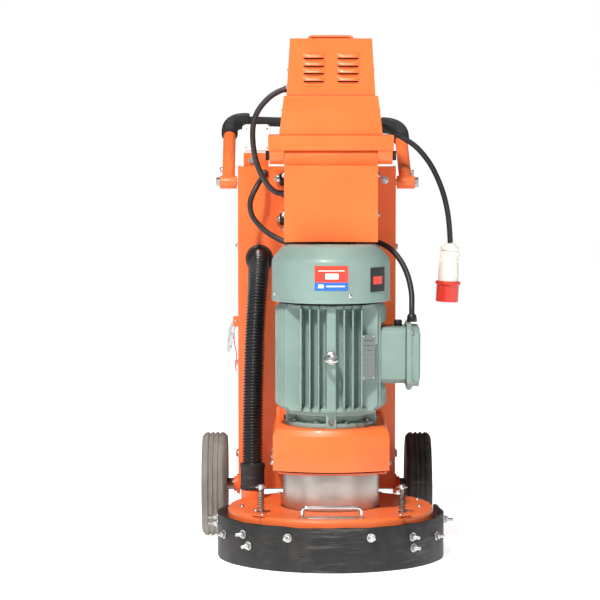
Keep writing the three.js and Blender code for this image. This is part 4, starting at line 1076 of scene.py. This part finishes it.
def lead_pieces():
    for name, route in LEADS.items():
        crosses = name == "console_lead"
        sheath = piece(name + "_sheath", None if crosses else "chassis",
                       along(spaced(smooth_path(route), 4), 6.5, 20), "cable", [name], sharp=60)
        if crosses:
            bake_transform(sheath)
    piece("box_glands", "chassis", joined(gland((-107.8, 60, 834), (-1, 0, 0), 9, 8),
                                          gland((-156, 229.8, 876), (0, -1, 0), 11, 15),
                                          gland((-84, 128, 727), (0, 0, -1), 9, 7)),
          "black_plastic")
    piece("console_gland", "console", gland((-101.3, 60, 1077), (-1, 0, -0.2), 9, 7),
          "black_plastic")


def cord_pieces():
    data = bpy.data.curves.new("power_cord_sheath", "CURVE")
    data.dimensions, data.bevel_depth, data.bevel_resolution = "3D", CORD_DIAMETER / 2, 5
    data.use_fill_caps = True
    route = [at(p) for p in smooth_path(CORD_ROUTE, 8)]
    line = data.splines.new("POLY")
    line.points.add(len(route) - 1)
    for spot, place in zip(line.points, route):
        spot.co = (*place, 1)
    line.use_smooth = True
    data.materials.append(FINISH["cable"])
    sheath = bpy.data.objects.new("power_cord_sheath", data)
    SCENE.collection.objects.link(sheath)
    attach(sheath, "chassis")
    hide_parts("power_cord")
    nut = revolved([(0, 7), (11, 7), (11, 0.4), (0, 0.4)], 6)
    cap = revolved(filleted([(0, 7), (10.4, 7), (10.4, 20), (7.6, 29), (0, 29)], [0, 1, 4, 1, 0],
                            4, False), 32)
    piece("cord_gland_body", "chassis",
          moved(joined(nut, cap), Matrix.Translation((70, 210, 902))), "black_plastic",
          ["cord_gland"])
    plug = plug_pieces()


def plug_pieces():
    """The five-pin plug, drawn hanging from its cord entry and leaned to follow the cord."""
    hang = Matrix.Translation((286.6, 208, 712)) @ Matrix.Rotation(math.radians(3.2), 4, "Y")
    body = filleted([(0, -1), (13, -1), (16.5, -8), (22.5, -10), (22.5, -17), (20, -19),
                     (23, -50), (24.5, -70), (24.5, -91), (0, -91)],
                    [0, 2, 2, 1.5, 1.5, 1.5, 6, 4, 1, 0], 4, False)
    ribs = [moved(block(-1.4, 1.4, 19.6, 23.6, -48, -21), Matrix.Rotation(k * math.pi / 8, 4, "Z"))
            for k in range(16)]
    white = piece("plug_housing", "chassis", moved(joined(revolved(body, 64), *ribs), hang),
                  "white_plastic", ["plug_body"])
    collar = filleted([(0, -91.3), (30, -91.3), (30, -98.5), (27, -100.5), (27, -140), (24, -140),
                       (24, -112), (0, -112)], [0, 1.2, 1.5, 1.5, 1, 1, 1, 0], 3, False)
    key = block(-5, 5, -29.5, -26, -139, -101)
    red = piece("plug_shroud", "chassis", moved(joined(revolved(collar, 64), key), hang),
                "red_plastic", ["plug_collar"])
    pins = []
    for k in range(5):
        turn, radius = math.radians(72 * k - 90), 3.4 if k == 0 else 2.6
        pins.append(moved(revolved(filleted([(0, -136), (radius, -136), (radius, -110),
                                             (0, -110)], 0.8, 2, False), 18),
                          Matrix.Translation((15 * math.cos(turn), 15 * math.sin(turn), 0))))
    metal = piece("plug_pins", "chassis", moved(joined(*pins), hang), "chrome")
    return [white, red, metal]


# ------------------------------------------------------------------ floor
def floor():
    """A pale round floor, lit evenly by a little light of its own."""
    mesh = bpy.data.meshes.new("floor")
    rim = [(14 * math.cos(k * math.pi / 32), 14 * math.sin(k * math.pi / 32), 0)
           for k in range(64)]
    mesh.from_pydata(rim, [], [tuple(range(64))])
    obj = bpy.data.objects.new("floor", mesh)
    obj.location.z = -0.0006
    g = Graph("floor")
    where = g.put("TexCoord").outputs["Object"]
    tone = g.blend(g.noise(where, 3, 2), (0.86, 0.86, 0.86, 1), (0.9, 0.9, 0.9, 1))
    shader = g.put("BsdfPrincipled", Base_Color=tone, Roughness=0.9)
    shader.inputs["Specular IOR Level"].default_value = 0
    shader.inputs["Emission Color"].default_value = (1, 1, 1, 1)
    shader.inputs["Emission Strength"].default_value = 0.8
    g.put("OutputMaterial", Surface=shader.outputs[0])
    mesh.materials.append(g.material)
    SCENE.collection.objects.link(obj)


for build in (camera, surroundings, cord_pieces, frame_pieces, wheel_pieces, handlebar_pieces,
              head_pieces, shroud_pieces, hose_pieces, motor_pieces, motor_trim,
              terminal_pieces, box_pieces, console_pieces, lead_pieces, floor):
    build()
